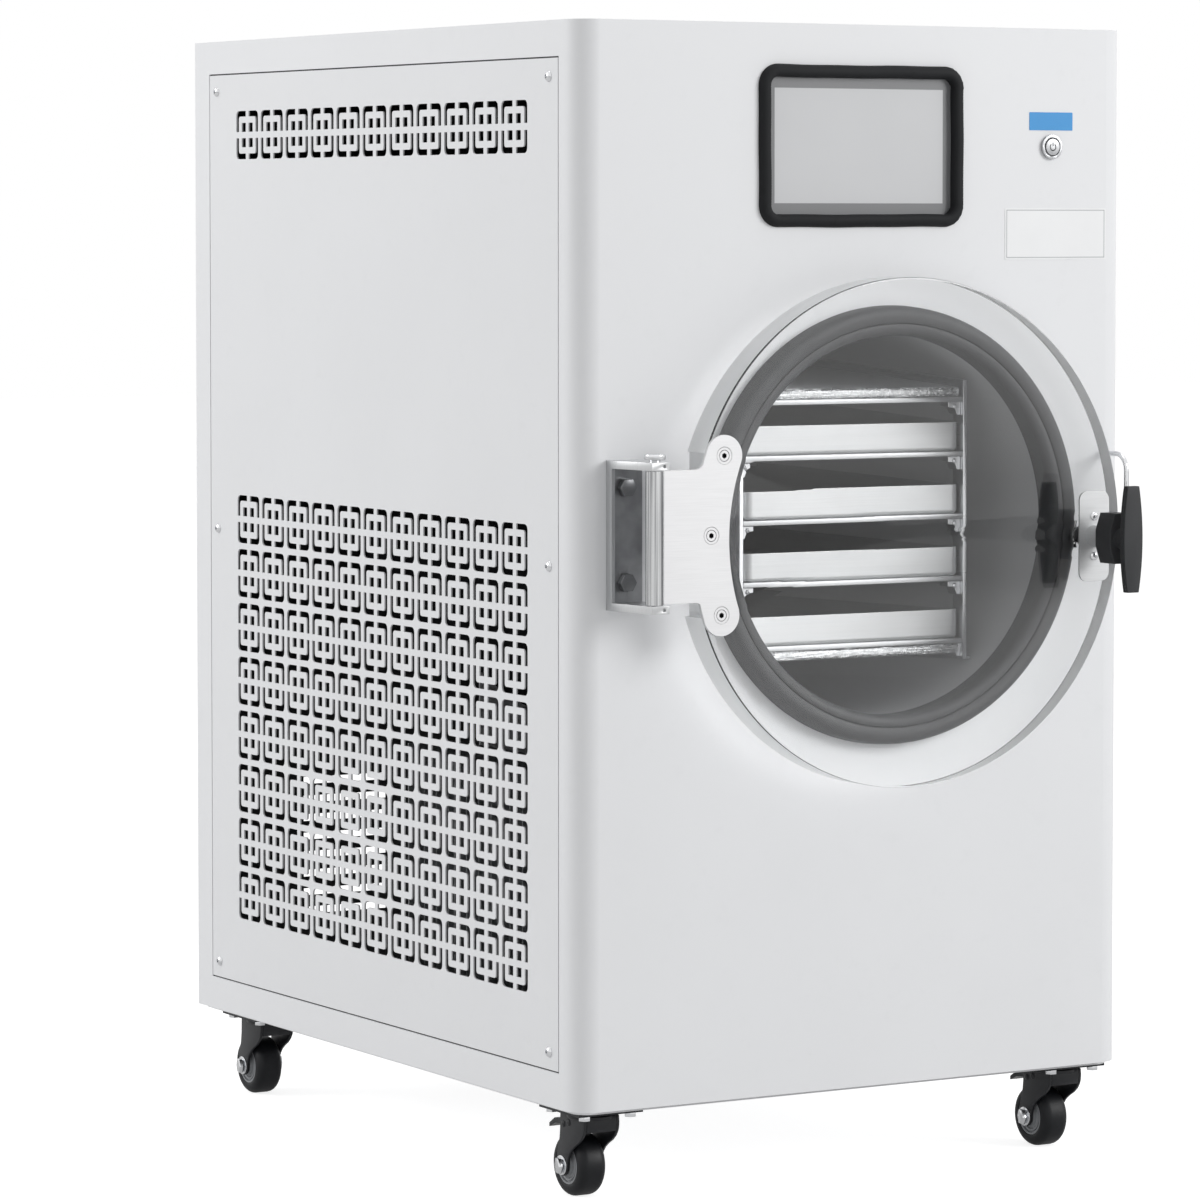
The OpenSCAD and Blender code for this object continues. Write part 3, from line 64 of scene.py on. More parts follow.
def deselect():
    if bpy.context.object and bpy.context.object.mode != "OBJECT":
        bpy.ops.object.mode_set(mode="OBJECT")
    bpy.ops.object.select_all(action="DESELECT")


def begin(name, add, **settings):
    """A new object by one of Blender's add operators."""
    deselect()
    add(**settings)
    bpy.context.object.name = name
    return bpy.context.object


def take(piece):
    """Leaves one piece selected and active, in object mode."""
    deselect()
    bpy.context.view_layer.objects.active = piece
    piece.select_set(True)
    return piece


def edit(piece, select=True):
    """Opens a piece in edit mode with everything selected, or nothing."""
    take(piece)
    bpy.ops.object.mode_set(mode="EDIT")
    bpy.ops.mesh.select_mode(type="VERT")
    bpy.ops.mesh.select_all(action="SELECT" if select else "DESELECT")


def close(piece):
    bpy.ops.object.mode_set(mode="OBJECT")
    return piece


def settle(piece):
    """Puts a piece's place, turn and size into its mesh."""
    take(piece)
    bpy.ops.object.transform_apply(location=True, rotation=True, scale=True)
    return piece


def push(shift):
    """Extrudes what is selected by a shift."""
    bpy.ops.mesh.extrude_region_move(TRANSFORM_OT_translate={"value": Vector(shift)})


def face_outward():
    bpy.ops.mesh.select_all(action="SELECT")
    bpy.ops.mesh.normals_make_consistent(inside=False)


def mend(piece, distance=SAME):
    """Merges doubled points and turns the faces outwards."""
    edit(piece)
    bpy.ops.mesh.remove_doubles(threshold=distance)
    face_outward()
    return close(piece)


def apply_modifier(piece, kind, **settings):
    take(piece)
    modifier = piece.modifiers.new(kind.title(), kind)
    for key, value in settings.items():
        setattr(modifier, key, value)
    bpy.ops.object.modifier_apply(modifier=modifier.name)
    return piece


def bevel(piece, width, segments=2, angle=30):
    """Rounds the edges sharper than an angle, by a width in millimetres."""
    return apply_modifier(piece, "BEVEL", width=width * MM, segments=segments, limit_method="ANGLE",
                          angle_limit=math.radians(angle), harden_normals=False)


def cut(piece, *cutters):
    for cutter in cutters:
        apply_modifier(piece, "BOOLEAN", object=cutter, operation="DIFFERENCE", solver="EXACT")
        bpy.data.objects.remove(cutter)
    return piece


def add_on(piece, *others):
    """Joins pieces into one object, each a shell of its own."""
    take(piece)
    for other in others:
        other.select_set(True)
    bpy.ops.object.join()
    return piece


def smooth(piece, angle=32):
    take(piece)
    bpy.ops.object.shade_smooth_by_angle(angle=math.radians(angle))
    return piece


def copied(piece, name):
    """A copy with its own mesh."""
    take(piece)
    bpy.ops.object.duplicate()
    bpy.context.object.name = name
    return bpy.context.object


def mirrored(piece, name):
    """A copy on the other side of the machine's middle plane."""
    twin = copied(piece, name)
    twin.scale = (-1, 1, 1)
    settle(twin)
    return mend(twin)


def draw(name, points):
    """Draws a line of points by extruding a single point, and leaves it open in edit mode, all selected."""
    piece = begin(name, bpy.ops.mesh.primitive_plane_add, size=0.01, location=points[0])
    edit(piece)
    bpy.ops.mesh.merge(type="CENTER")
    for a, b in zip(points, points[1:]):
        push(Vector(b) - Vector(a))
    bpy.ops.mesh.select_all(action="SELECT")
    return piece


def slab(name, outline, shift):
    """A flat outline of points, filled and extruded by a shift."""
    piece = draw(name, outline)
    bpy.ops.mesh.edge_face_add()
    push(shift)
    face_outward()
    return settle(close(piece))


def front_slab(name, outline, near, far):
    """A slab whose outline is drawn from the front, between two distances out."""
    return slab(name, [at(x, near, z) for x, z in outline], (0, (near - far) * MM, 0))


def side_slab(name, outline, x0, x1):
    """A slab whose outline is drawn from the right as (y, z) in metres, between two places across."""
    return slab(name, [Vector((x0, y, z)) for y, z in outline], (x1 - x0, 0, 0))


def spun(name, profile, centre, axis, steps=96):
    """A profile of (radius, height) in millimetres turned round an axis through a point."""
    axis = Vector(axis).normalized()
    side = axis.orthogonal().normalized()
    points = [centre + side * r * MM + axis * h * MM for r, h in profile]
    piece = draw(name, points + points[:1])
    bpy.ops.mesh.spin(steps=steps, angle=2 * math.pi, center=centre, axis=axis)
    bpy.ops.mesh.select_all(action="SELECT")
    bpy.ops.mesh.remove_doubles(threshold=SAME)
    face_outward()
    return settle(close(piece))


def turned(name, profile, x, z, steps=96):
    """A profile of (radius, distance out) turned round an axis that points forward."""
    return spun(name, profile, at(x, 0, z), (0, -1, 0), steps)


def arc(cx, cz, r, start, end, count=8):
    """Points on an arc, from one angle to another in degrees."""
    return [(cx + r * math.cos(math.radians(start + (end - start) * k / count)),
             cz + r * math.sin(math.radians(start + (end - start) * k / count))) for k in range(count + 1)]


def rounded(cx, cz, w, h, r, count=8):
    """Outline of a rectangle with round corners, about its centre."""
    points = []
    for sx, sz, start in ((1, 1, 0), (-1, 1, 90), (-1, -1, 180), (1, -1, 270)):
        points += arc(cx + sx * (w / 2 - r), cz + sz * (h / 2 - r), r, start, start + 90, count)
    return points


def from_node(node, name, round_off=0.3, segments=2, angle=32):
    """A copy of a node's solid with its edges rounded off, for a piece whose shape the solid already has."""
    deselect()
    mesh = frame["nodes"][node].data.copy()
    piece = bpy.data.objects.new(name, mesh)
    bpy.context.scene.collection.objects.link(piece)
    edit(piece)
    bpy.ops.mesh.remove_doubles(threshold=SAME)
    bpy.ops.mesh.dissolve_limited(angle_limit=math.radians(0.5))
    close(piece)
    mesh.materials.clear()
    if round_off:
        bevel(piece, round_off, segments, angle)
    return smooth(piece, 30)


def dress(piece, *names):
    """Gives a piece these materials and no others."""
    piece.data.materials.clear()
    for name in names:
        piece.data.materials.append(MATERIALS[name])
    return piece


def finish(piece, body, material, slot, *nodes):
    """Gives a piece its material and body, and hides the nodes that it stands for. The slot is not used."""
    if material:
        dress(piece, material)
    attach(piece, body)
    if nodes:
        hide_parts(*nodes)
    return piece


# ---------- shader groups ----------

def new_group(name, inputs, outputs):
    """An empty shader node group with named inputs and outputs: (kind, name, value)."""
    group = bpy.data.node_groups.new(name, "ShaderNodeTree")
    for kind, label, value in inputs:
        socket = group.interface.new_socket(name=label, in_out="INPUT", socket_type="NodeSocket" + kind)
        if value is not None:
            socket.default_value = value
    for label in outputs:
        group.interface.new_socket(name=label, in_out="OUTPUT", socket_type="NodeSocketFloat")
    return group, group.nodes.new("NodeGroupInput").outputs, group.nodes.new("NodeGroupOutput")


def node(near, kind, **settings):
    """A new node in the tree of a socket or a node."""
    made = near.id_data.nodes.new(kind)
    for key, value in settings.items():
        setattr(made, key, value)
    return made


def feed(sockets, values):
    """Sets sockets to values, or links them to other sockets."""
    for socket, value in zip(sockets, values):
        if isinstance(value, bpy.types.NodeSocket):
            socket.id_data.links.new(value, socket)
        else:
            socket.default_value = value


def fill(made, **values):
    """Feeds a node's inputs by their names."""
    feed([made.inputs[label.replace("_", " ")] for label in values], values.values())
    return made


def noise(vector, scale, detail=3.0, rough=0.5):
    made = fill(node(vector, "ShaderNodeTexNoise"), Vector=vector, Scale=scale, Detail=detail, Roughness=rough)
    return made.outputs["Fac"]


def maths(operation, *values, clamp=False):
    made = node(values[0], "ShaderNodeMath", operation=operation, use_clamp=clamp)
    feed(made.inputs, values)
    return made.outputs[0]


def vector_maths(operation, *values):
    made = node(values[0], "ShaderNodeVectorMath", operation=operation)
    feed(made.inputs, values)
    return made.outputs


def remap(value, low, high, to_low=0.0, to_high=1.0):
    made = fill(node(value, "ShaderNodeMapRange", clamp=True), Value=value, From_Min=low, From_Max=high,
                To_Min=to_low, To_Max=to_high)
    return made.outputs["Result"]


def grain_group():
    """Fine surface grain, with a slow cloudiness for tone and handling marks."""
    group, given, out = new_group("surface_grain", [("Vector", "Vector", None), ("Float", "Scale", 900.0),
                                                    ("Float", "Cloud Scale", 9.0)],
                                  ["Grain", "Cloud", "Marks"])
    grain = noise(given["Vector"], given["Scale"], 2.0, 0.6)
    cloud = noise(given["Vector"], given["Cloud Scale"], 4.0, 0.55)
    marks = noise(given["Vector"], maths("MULTIPLY", given["Cloud Scale"], 7.0), 6.0, 0.7)
    fill(out, Grain=grain, Cloud=remap(cloud, 0.3, 0.7), Marks=remap(marks, 0.56, 0.72))
    return group


def brushed_group():
    """Long fine lines left by brushing, along the direction in which Stretch is small."""
    group, given, out = new_group("brushed_lines", [("Vector", "Vector", None),
                                                    ("Vector", "Stretch", (40.0, 40.0, 2200.0)),
                                                    ("Float", "Cloud Scale", 14.0)], ["Lines", "Cloud"])
    drawn = vector_maths("MULTIPLY", given["Vector"], given["Stretch"])["Vector"]
    cloud = noise(given["Vector"], given["Cloud Scale"])
    fill(out, Lines=noise(drawn, 1.0, 3.0, 0.65), Cloud=remap(cloud, 0.3, 0.7))
    return group


def crumple_group():
    """Sharp creases of crumpled foil over softer folds."""
    group, given, out = new_group("foil_creases", [("Vector", "Vector", None), ("Float", "Scale", 60.0)],
                                  ["Height", "Cloud"])
    wander = fill(node(group, "ShaderNodeTexNoise"), Vector=given["Vector"], Scale=35.0)
    warp = vector_maths("MULTIPLY_ADD", wander.outputs["Color"], (0.02, 0.02, 0.02), given["Vector"])
    crease = node(group, "ShaderNodeTexVoronoi", feature="DISTANCE_TO_EDGE")
    fill(crease, Vector=warp["Vector"], Scale=given["Scale"])
    fold = noise(given["Vector"], maths("MULTIPLY", given["Scale"], 2.5), 5.0, 0.6)
    folds = maths("MULTIPLY", fold, 0.6)
    height = maths("MULTIPLY_ADD", crease.outputs["Distance"], 1.2, folds)
    fill(out, Height=height, Cloud=remap(fold, 0.35, 0.65))
    return group


GRAIN = grain_group()
BRUSHED = brushed_group()
CRUMPLE = crumple_group()


# ---------- materials ----------

MATERIALS = {}


def linear(r, g, b):
    """A display colour of 0 to 255 as scene colour."""
    light = [((c / 255 + 0.055) / 1.055) ** 2.4 if c > 10 else c / 255 / 12.92 for c in (r, g, b)]
    return (*light, 1.0)


def shade(colour, factor):
    return tuple(min(1.0, c * factor) for c in colour[:3]) + (1.0,)


def new_material(name, **sockets):
    """A material with its own shader, whose even values are set on the shader."""
    material = MATERIALS[name] = bpy.data.materials.new(name)
    material.use_nodes = True
    shader = fill(material.node_tree.nodes["Principled BSDF"], **sockets)
    return shader, node(shader, "ShaderNodeTexCoord").outputs["Object"]


def reopened(name):
    """A material's shader, place and present colour, for a change on top of it."""
    shader = MATERIALS[name].node_tree.nodes["Principled BSDF"]
    place = node(shader, "ShaderNodeTexCoord").outputs["Object"]
    return shader, place, shader.inputs["Base Color"].links[0].from_socket


def effect(group, place, **values):
    """The outputs of a shader group put over the surface."""
    return fill(node(place, "ShaderNodeGroup", node_tree=group), Vector=place, **values).outputs


def mixed(mask, a, b):
    """Colour a where the mask is 0 and b where it is 1; either may be a socket."""
    made = node(mask, "ShaderNodeMix", data_type="RGBA")
    feed([made.inputs[k] for k in (0, 6, 7)], (mask, a, b))
    return made.outputs[2]


def bump(shader, height, strength, distance):
    made = fill(node(shader, "ShaderNodeBump"), Strength=strength, Distance=distance, Height=height)
    fill(shader, Normal=made.outputs["Normal"])


def painted(name, colour, rough=0.42, tone=0.03, grain=900.0, relief=0.05, gloss=0.5, metallic=0.0):
    """Paint, plastic or rubber: a base tone with slow cloudiness, fine grain and a few rubbed marks."""
    shader, place = new_material(name, Metallic=metallic, Specular_IOR_Level=gloss)
    skin = effect(GRAIN, place, Scale=grain)
    base = mixed(skin["Cloud"], shade(colour, 1 - tone), shade(colour, 1 + tone))
    fill(shader, Base_Color=mixed(skin["Marks"], base, shade(colour, 1 - 2 * tone)),
         Roughness=remap(skin["Cloud"], 0, 1, rough - 0.04, rough + 0.05))
    bump(shader, skin["Grain"], relief, 0.0004)


def metal(name, colour, rough, stretch, tone, relief=0.05):
    """Brushed or drawn metal with its lines across the large part of Stretch."""
    shader, place = new_material(name, Metallic=1.0)
    skin = effect(BRUSHED, place, Stretch=stretch)
    base = mixed(skin["Cloud"], shade(colour, 1 - tone), shade(colour, 1 + tone))
    fill(shader, Base_Color=mixed(skin["Lines"], base, shade(colour, 1 - tone)),
         Roughness=remap(skin["Lines"], 0.3, 0.7, rough - 0.06, rough + 0.08))
    bump(shader, skin["Lines"], relief, 0.0002)


def split(place):
    return fill(node(place, "ShaderNodeSeparateXYZ"), Vector=place).outputs


def inside_box(place, low, high, edge=0.0003):
    """A mask that is 1 inside a box of scene points; None leaves a side open."""
    mask = None
    for socket, *limits in zip(split(place), low, high):
        for limit, start in zip(limits, (0.0, 1.0)):
            if limit is not None:
                step = remap(socket, limit - edge, limit + edge, start, 1.0 - start)
                mask = maths("MULTIPLY", mask, step) if mask else step
    return mask


FOLD = 0.0205  # the folded corners reach this far along each side
SHEET, REAR_SHEET = 0.0012, 0.0006  # the hidden side starts this far behind a face
LEDGE_TOP = 0.8138  # and ends this high above the cabinet's bottom edge
SHADE_INSIDE = [((-HALF_W + x, FRONT + y, BASE - 0.001), (HALF_W - x, REAR - REAR_SHEET, BASE + LEDGE_TOP))
          for x, y in ((FOLD, SHEET), (SHEET, FOLD))]

# Paint on the cabinet's sheets. Their hidden side, inside the cabinet, is painted near black as painted shade,
# so seams and openings read dark, and the side and rear panels' paint is a touch darker than the cabinet's as
# painted shade.
for name, colour, rough in (("cabinet_paint", (236, 237, 239), 0.46), ("panel_paint", (233, 234, 236), 0.48)):
    painted(name, linear(*colour), rough, tone=0.008, grain=1500.0, relief=0.06)
    shader, place, skin = reopened(name)
    inside_shade = maths("MAXIMUM", *[inside_box(place, *box) for box in SHADE_INSIDE])
    fill(shader, Base_Color=mixed(inside_shade, skin, linear(52, 53, 55)))

for name, colour, rough, tone, grain, relief, gloss in (
        ("pan_coat", (228, 229, 231), 0.5, 0.03, 700.0, 0.05, 0.5),
        ("gasket_rubber", (69, 70, 72), 0.55, 0.03, 1600.0, 0.005, 0.35),
        ("foam_skin", (26, 27, 29), 0.85, 0.1, 420.0, 0.5, 0.1),
        ("heater_rubber", (222, 223, 225), 0.7, 0.08, 1500.0, 0.3, 0.5),
        ("edging_rubber", (31, 32, 34), 0.66, 0.12, 1900.0, 0.3, 0.2),
        ("black_enamel", (32, 33, 36), 0.36, 0.1, 1100.0, 0.1, 0.35),
        # painted shade for the door screws' grooves and sockets
        ("groove_shade_black", (30, 31, 33), 0.7, 0.1, 1500.0, 0.1, 0.15),
        ("black_plastic", (20, 21, 23), 0.44, 0.1, 1700.0, 0.15, 0.35),
        ("grip_plastic", (50, 51, 53), 0.5, 0.03, 1900.0, 0.2, 0.35),
        ("tyre_rubber", (25, 26, 29), 0.42, 0.16, 1200.0, 0.15, 0.25),
        ("hub_plastic", (146, 148, 151), 0.4, 0.06, 1500.0, 0.1, 0.5),
        ("screen_case", (122, 123, 125), 0.5, 0.04, 1500.0, 0.15, 0.5),
        ("red_enamel", (168, 40, 36), 0.32, 0.08, 1000.0, 0.08, 0.5),
        ("blue_film", (44, 147, 214), 0.32, 0.015, 2200.0, 0.03, 0.5)):
    painted(name, linear(*colour), rough, tone, grain, relief, gloss)
painted("zinc_sheet", linear(176, 180, 184), tone=0.12, grain=120.0, metallic=0.85)

for name, colour, rough, stretch, tone, relief in (
        ("satin_steel", (204, 205, 207), 0.3, (300.0, 300.0, 9.0), 0.04, 0.05),
        ("polished_steel", (226, 227, 229), 0.12, (200.0, 200.0, 200.0), 0.03, 0.02),
        ("bezel_steel", (184, 185, 187), 0.34, (200.0, 200.0, 200.0), 0.04, 0.05),
        ("button_steel", (172, 173, 175), 0.36, (200.0, 200.0, 200.0), 0.04, 0.05),
        ("dull_steel", (136, 137, 139), 0.38, (400.0, 400.0, 400.0), 0.12, 0.05),
        ("plate_steel", (192, 193, 194), 0.5, (30.0, 30.0, 900.0), 0.02, 0.05),
        ("leaf_steel", (211, 211, 212), 0.56, (30.0, 30.0, 1500.0), 0.02, 0.05),
        ("tray_steel", (208, 209, 210), 0.5, (6.0, 60.0, 1300.0), 0.05, 0.08),
        ("rack_alloy", (228, 229, 231), 0.32, (12.0, 12.0, 900.0), 0.06, 0.05),
        ("fin_alloy", (205, 207, 209), 0.4, (60.0, 60.0, 60.0), 0.1, 0.05),
        ("copper_tube", (205, 140, 105), 0.3, (90.0, 90.0, 90.0), 0.16, 0.05),
        ("brass", (204, 172, 104), 0.32, (300.0, 40.0, 300.0), 0.08, 0.05)):
    metal(name, linear(*colour), rough, stretch, tone, relief)

# The chamber's satin steel is painted paler toward its far end, painted light that lifts the shade where less
# light comes.
CHAMBER_DEPTH = 0.47
shader, place = new_material("chamber_steel", Metallic=0.1)
skin = effect(BRUSHED, place, Stretch=(25.0, 2000.0, 25.0), Cloud_Scale=6.0)
depth = remap(split(place)["Y"], FRONT, FRONT + CHAMBER_DEPTH)
fill(shader, Base_Color=mixed(depth, linear(194, 195, 197), linear(253, 253, 254)),
     Roughness=remap(skin["Lines"], 0.3, 0.7, 0.5, 0.62))
bump(shader, skin["Lines"], 0.02, 0.0001)

# The hinge bracket is ground steel. Its recessed back plate is painted darker, as painted shade in the recess,
# and blotched.
shader, place = new_material("bracket_steel", Metallic=1.0)
skin = effect(BRUSHED, place, Stretch=(700.0, 700.0, 9.0), Cloud_Scale=38.0)
low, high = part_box("hinge_bracket")
wall, back, shelf = 0.004, 0.009, 0.006  # thickness of its side, back plate with bend, and ends with bend
recess = inside_box(place, (low.x + wall, high.y - back, low.z + shelf), (high.x, None, high.z - shelf), 0.0004)
ground = mixed(skin["Lines"], linear(212, 213, 214), linear(196, 197, 198))
recess_shade = mixed(skin["Cloud"], linear(138, 139, 141), linear(184, 185, 187))
fill(shader, Base_Color=mixed(recess, ground, recess_shade), Roughness=remap(skin["Lines"], 0.3, 0.7, 0.26, 0.38))
bump(shader, skin["Lines"], 0.05, 0.0002)

# The brushed leaf has a polished barrel whose bright and dark streaks along its length are painted reflections.
BARREL_WIDTH = 0.0138
shader, place, skin = reopened("leaf_steel")
barrel = inside_box(place, (None,) * 3, (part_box("hinge_leaf")[0].x + BARREL_WIDTH, None, None))
rough = shader.inputs["Roughness"].links[0].from_socket
drawn = effect(BRUSHED, place, Stretch=(330.0, 330.0, 3.0))
reflection_streaks = mixed(remap(drawn["Lines"], 0.4, 0.62), linear(236, 237, 238), linear(142, 143, 145))
fill(shader, Base_Color=mixed(barrel, skin, reflection_streaks),
     Roughness=maths("MULTIPLY", rough, remap(barrel, 0, 1, 1.0, 0.35)))

# The foil tape is bright and crinkled where it is folded over the front, and pale and dull behind.
FOLD_END, DULL_START = 0.0015, 0.0035  # behind the front edge
shader, place = new_material("foil_tape")
skin = effect(CRUMPLE, place, Scale=140.0)
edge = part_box("rack_insulation")[0].y
folded = remap(split(place)["Y"], edge + FOLD_END, edge + DULL_START, 1.0, 0.0)
bright = mixed(skin["Cloud"], linear(200, 201, 203), linear(244, 245, 246))
fill(shader, Base_Color=mixed(folded, linear(222, 223, 225), bright),
     Metallic=remap(folded, 0, 1, 0.1, 1.0),
     Roughness=remap(maths("MULTIPLY", skin["Cloud"], folded), 0, 1, 0.42, 0.2))
bump(shader, maths("MULTIPLY", skin["Height"], folded), 0.35, 0.001)

# The door's thick clear acrylic has a few faint wiping marks in its polish.
shader, place = new_material("clear_plastic", Metallic=0.0, Transmission_Weight=1.0, IOR=1.49)
skin = effect(GRAIN, place, Scale=700.0, Cloud_Scale=12.0)
fill(shader, Base_Color=mixed(skin["Cloud"], linear(252, 253, 253), linear(255, 255, 255)),
     Roughness=remap(skin["Marks"], 0, 1, 0.0, 0.0015))

# Its turned rim is lightly frosted by the tool.
shader, place = new_material("turned_rim", Metallic=0.0, Transmission_Weight=0.12, IOR=1.49)
skin = effect(BRUSHED, place, Stretch=(20.0, 1800.0, 20.0))
fill(shader, Base_Color=mixed(skin["Cloud"], linear(240, 242, 243), linear(252, 253, 254)),
     Roughness=remap(skin["Lines"], 0.3, 0.7, 0.28, 0.4))

# The sleeping screen has a dark grey border round a paler active area, under smooth glass.
shader, place = new_material("screen_glass", Metallic=0.0, Coat_Weight=0.3, Coat_Roughness=0.08)
skin = effect(GRAIN, place, Scale=600.0, Cloud_Scale=5.0)
low, high = at(-75.8, 0, 679.0), at(77.3, 0, 766.2)
active = inside_box(place, (low.x, None, low.z), (high.x, None, high.z), 0.0002)
border = mixed(skin["Cloud"], linear(118, 119, 121), linear(124, 125, 127))
pane = mixed(skin["Cloud"], linear(200, 201, 203), linear(206, 207, 209))
fill(shader, Base_Color=mixed(active, border, pane), Roughness=remap(skin["Cloud"], 0, 1, 0.3, 0.36))

# The notice is blank and white with a thin grey frame.
NOTICE_LOW, NOTICE_HIGH = at(134.5, 0, 636.0), at(229.5, 0, 675.0)
FRAME_MARGIN, FRAME_INNER = 0.0008, 0.0015
shader, place = new_material("notice_film", Metallic=0.0, Coat_Weight=0.2, Coat_Roughness=0.2)
skin = effect(GRAIN, place, Scale=2000.0, Cloud_Scale=20.0)
within = [inside_box(place, (NOTICE_LOW.x + inset, None, NOTICE_LOW.z + inset),
                     (NOTICE_HIGH.x - inset, None, NOTICE_HIGH.z - inset), 0.00008)
          for inset in (FRAME_MARGIN, FRAME_INNER)]
white = mixed(skin["Cloud"], linear(240, 241, 242), linear(244, 245, 246))
line = maths("SUBTRACT", *within, clamp=True)
fill(shader, Base_Color=mixed(line, white, linear(176, 178, 181)),
     Roughness=remap(skin["Grain"], 0, 1, 0.3, 0.4))


# ---------- picking parts of a piece ----------

def pick_faces(piece, test):
    """Opens a piece in edit mode with the faces selected whose centre and normal pass a test."""
    edit(piece, select=False)
    bpy.ops.mesh.select_mode(type="FACE")
    close(piece)
    for face in piece.data.polygons:
        face.select = bool(test(face.center, face.normal))
    bpy.ops.object.mode_set(mode="EDIT")


def pick_edges(piece, test):
    """Opens a piece in edit mode with the edges selected whose two ends pass a test."""
    edit(piece, select=False)
    bpy.ops.mesh.select_mode(type="EDGE")
    close(piece)
    points = piece.data.vertices
    for edge in piece.data.edges:
        edge.select = bool(test(points[edge.vertices[0]].co, points[edge.vertices[1]].co))
    bpy.ops.object.mode_set(mode="EDIT")


def on_plane(axis, value):
    """A test for edges that lie at a value along an axis, 0 to 2."""
    return lambda a, b: abs(a[axis] - value) < NEAR and abs(b[axis] - value) < NEAR


def box_piece(name, low, high, round_off=0.5, segments=2):
    """A block between two corners, with its edges rounded."""
    low, high = Vector(low), Vector(high)
    piece = begin(name, bpy.ops.mesh.primitive_cube_add, size=1, location=(low + high) / 2)
    piece.scale = [abs(v) for v in high - low]
    settle(piece)
    return bevel(piece, round_off, segments) if round_off else piece


def prism(name, sides, radius, depth, location, rotation=(0, 0, 0)):
    """A bar of so many sides along Z, or turned from it; radius in millimetres."""
    return settle(begin(name, bpy.ops.mesh.primitive_cylinder_add, vertices=sides, radius=radius * MM,
                        depth=depth, location=location, rotation=rotation))


def rod(name, centre, radius, low, high, axis, sides=48, round_off=0.3):
    """A round bar along an axis between two places on it, with its ends eased; radius in millimetres."""
    turn = {"X": (0, math.pi / 2, 0), "Y": (math.pi / 2, 0, 0), "Z": (0, 0, 0)}[axis]
    place = Vector(centre)
    place["XYZ".index(axis)] = (low + high) / 2
    piece = prism(name, sides, radius, abs(high - low), place, turn)
    return bevel(piece, round_off, 2, 50) if round_off else piece


def slice_at(point, normal):
    """Cuts the piece in edit mode along a plane and keeps both sides."""
    bpy.ops.mesh.select_all(action="SELECT")
    bpy.ops.mesh.bisect(plane_co=point, plane_no=normal)


# ---------- cabinet ----------

VENT_STEPS = [2.5, 4.7, 5.2, 7.5, 5.2, 7.5, 5.2, 4.7, 2.5]
VENT_PITCH = 45.0
VENT_COLUMNS, VENT_ROWS = 11, 8
VENT_START = 71.7  # behind the front sheet
FIELD_HEIGHT, BAND_HEIGHT = 79.7, 714.0  # lower ends of the large field and the top band
SLOTS = {(1, 1), (1, 2), (1, 3), (2, 1), (3, 1), (3, 3)}  # cells of one quarter of the pattern


def is_slot(column, row):
    return (min(column, 8 - column), min(row, 8 - row)) in SLOTS


def vent_field(name, x, y0, z0, rows):
    """Rows of the cut pattern in a flat sheet, from its lowest front corner."""
    middle = (x, y0 + VENT_PITCH / 2 * MM, z0 + VENT_PITCH / 2 * MM)
    piece = settle(begin(name, bpy.ops.mesh.primitive_plane_add, size=VENT_PITCH * MM, location=middle,
                         rotation=(0, -math.pi / 2, 0)))
    edit(piece)
    lines = [sum(VENT_STEPS[:k + 1]) * MM for k in range(8)]
    for line in lines:
        slice_at((x, y0 + line, z0), (0, 1, 0))
        slice_at((x, y0, z0 + line), (0, 0, 1))
    close(piece)

    def cell(c):
        return sum(c.y - y0 > line for line in lines), sum(c.z - z0 > line for line in lines)

    pick_faces(piece, lambda c, n: is_slot(*cell(c)))
    bpy.ops.mesh.delete(type="FACE")
    close(piece)
    for shift, count in (((0, VENT_PITCH * MM, 0), VENT_COLUMNS), ((0, 0, VENT_PITCH * MM), rows)):
        if count > 1:
            apply_modifier(piece, "ARRAY", count=count, use_relative_offset=False, use_constant_offset=True,
                           constant_offset_displace=shift, use_merge_vertices=True, merge_threshold=NEAR)
    return piece


def vented_panel(name):
    """The left side panel: a sheet with a band of slots at the top and a large field at the bottom."""
    low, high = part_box("left_panel")
    x = low.x
    y0 = FRONT + VENT_START * MM
    y1 = y0 + VENT_COLUMNS * VENT_PITCH * MM
    field_z, band_z = BASE + FIELD_HEIGHT * MM, BASE + BAND_HEIGHT * MM
    field_top = field_z + VENT_ROWS * VENT_PITCH * MM
    band_top = band_z + VENT_PITCH * MM
    panel = add_on(vent_field(name, x, y0, field_z, VENT_ROWS), vent_field("band", x, y0, band_z, 1))

    def widen(axis, *steps):
        """Carries the edges at a place along an axis on to another place."""
        for near, end in steps:
            pick_edges(panel, on_plane(axis, near))
            push([end - near if k == axis else 0 for k in range(3)])
            close(panel)

    widen(2, (field_z, low.z), (field_top, band_z), (band_top, high.z))
    mend(panel, NEAR)
    widen(1, (y0, low.y), (y1, high.y))
    edit(panel)
    face_outward()
    close(panel)
    if panel.data.polygons[0].normal.x > 0:
        edit(panel)
        bpy.ops.mesh.flip_normals()
        close(panel)
    apply_modifier(panel, "SOLIDIFY", thickness=high.x - low.x, offset=-1)

    def slot_corner(inset):
        def test(a, b):
            if abs(a.x - b.x) < 1e-4:
                return False
            start = band_z if a.z > band_z - 1e-4 else field_z
            if not (y0 < a.y < y1 and start < a.z < (band_top if start == band_z else field_top)):
                return False
            u, v = [(d % (VENT_PITCH * MM)) / MM for d in (a.y - y0, a.z - start)]
            return all(abs(t - inset) < 0.05 or abs(t - VENT_PITCH + inset) < 0.05 for t in (u, v))
        return test

    for inset, radius in ((2.5, 4.2), (7.2, 2.4)):
        pick_edges(panel, slot_corner(inset))
        bpy.ops.mesh.bevel(offset=radius * MM, segments=3, affect="EDGES")
        close(panel)
    return panel


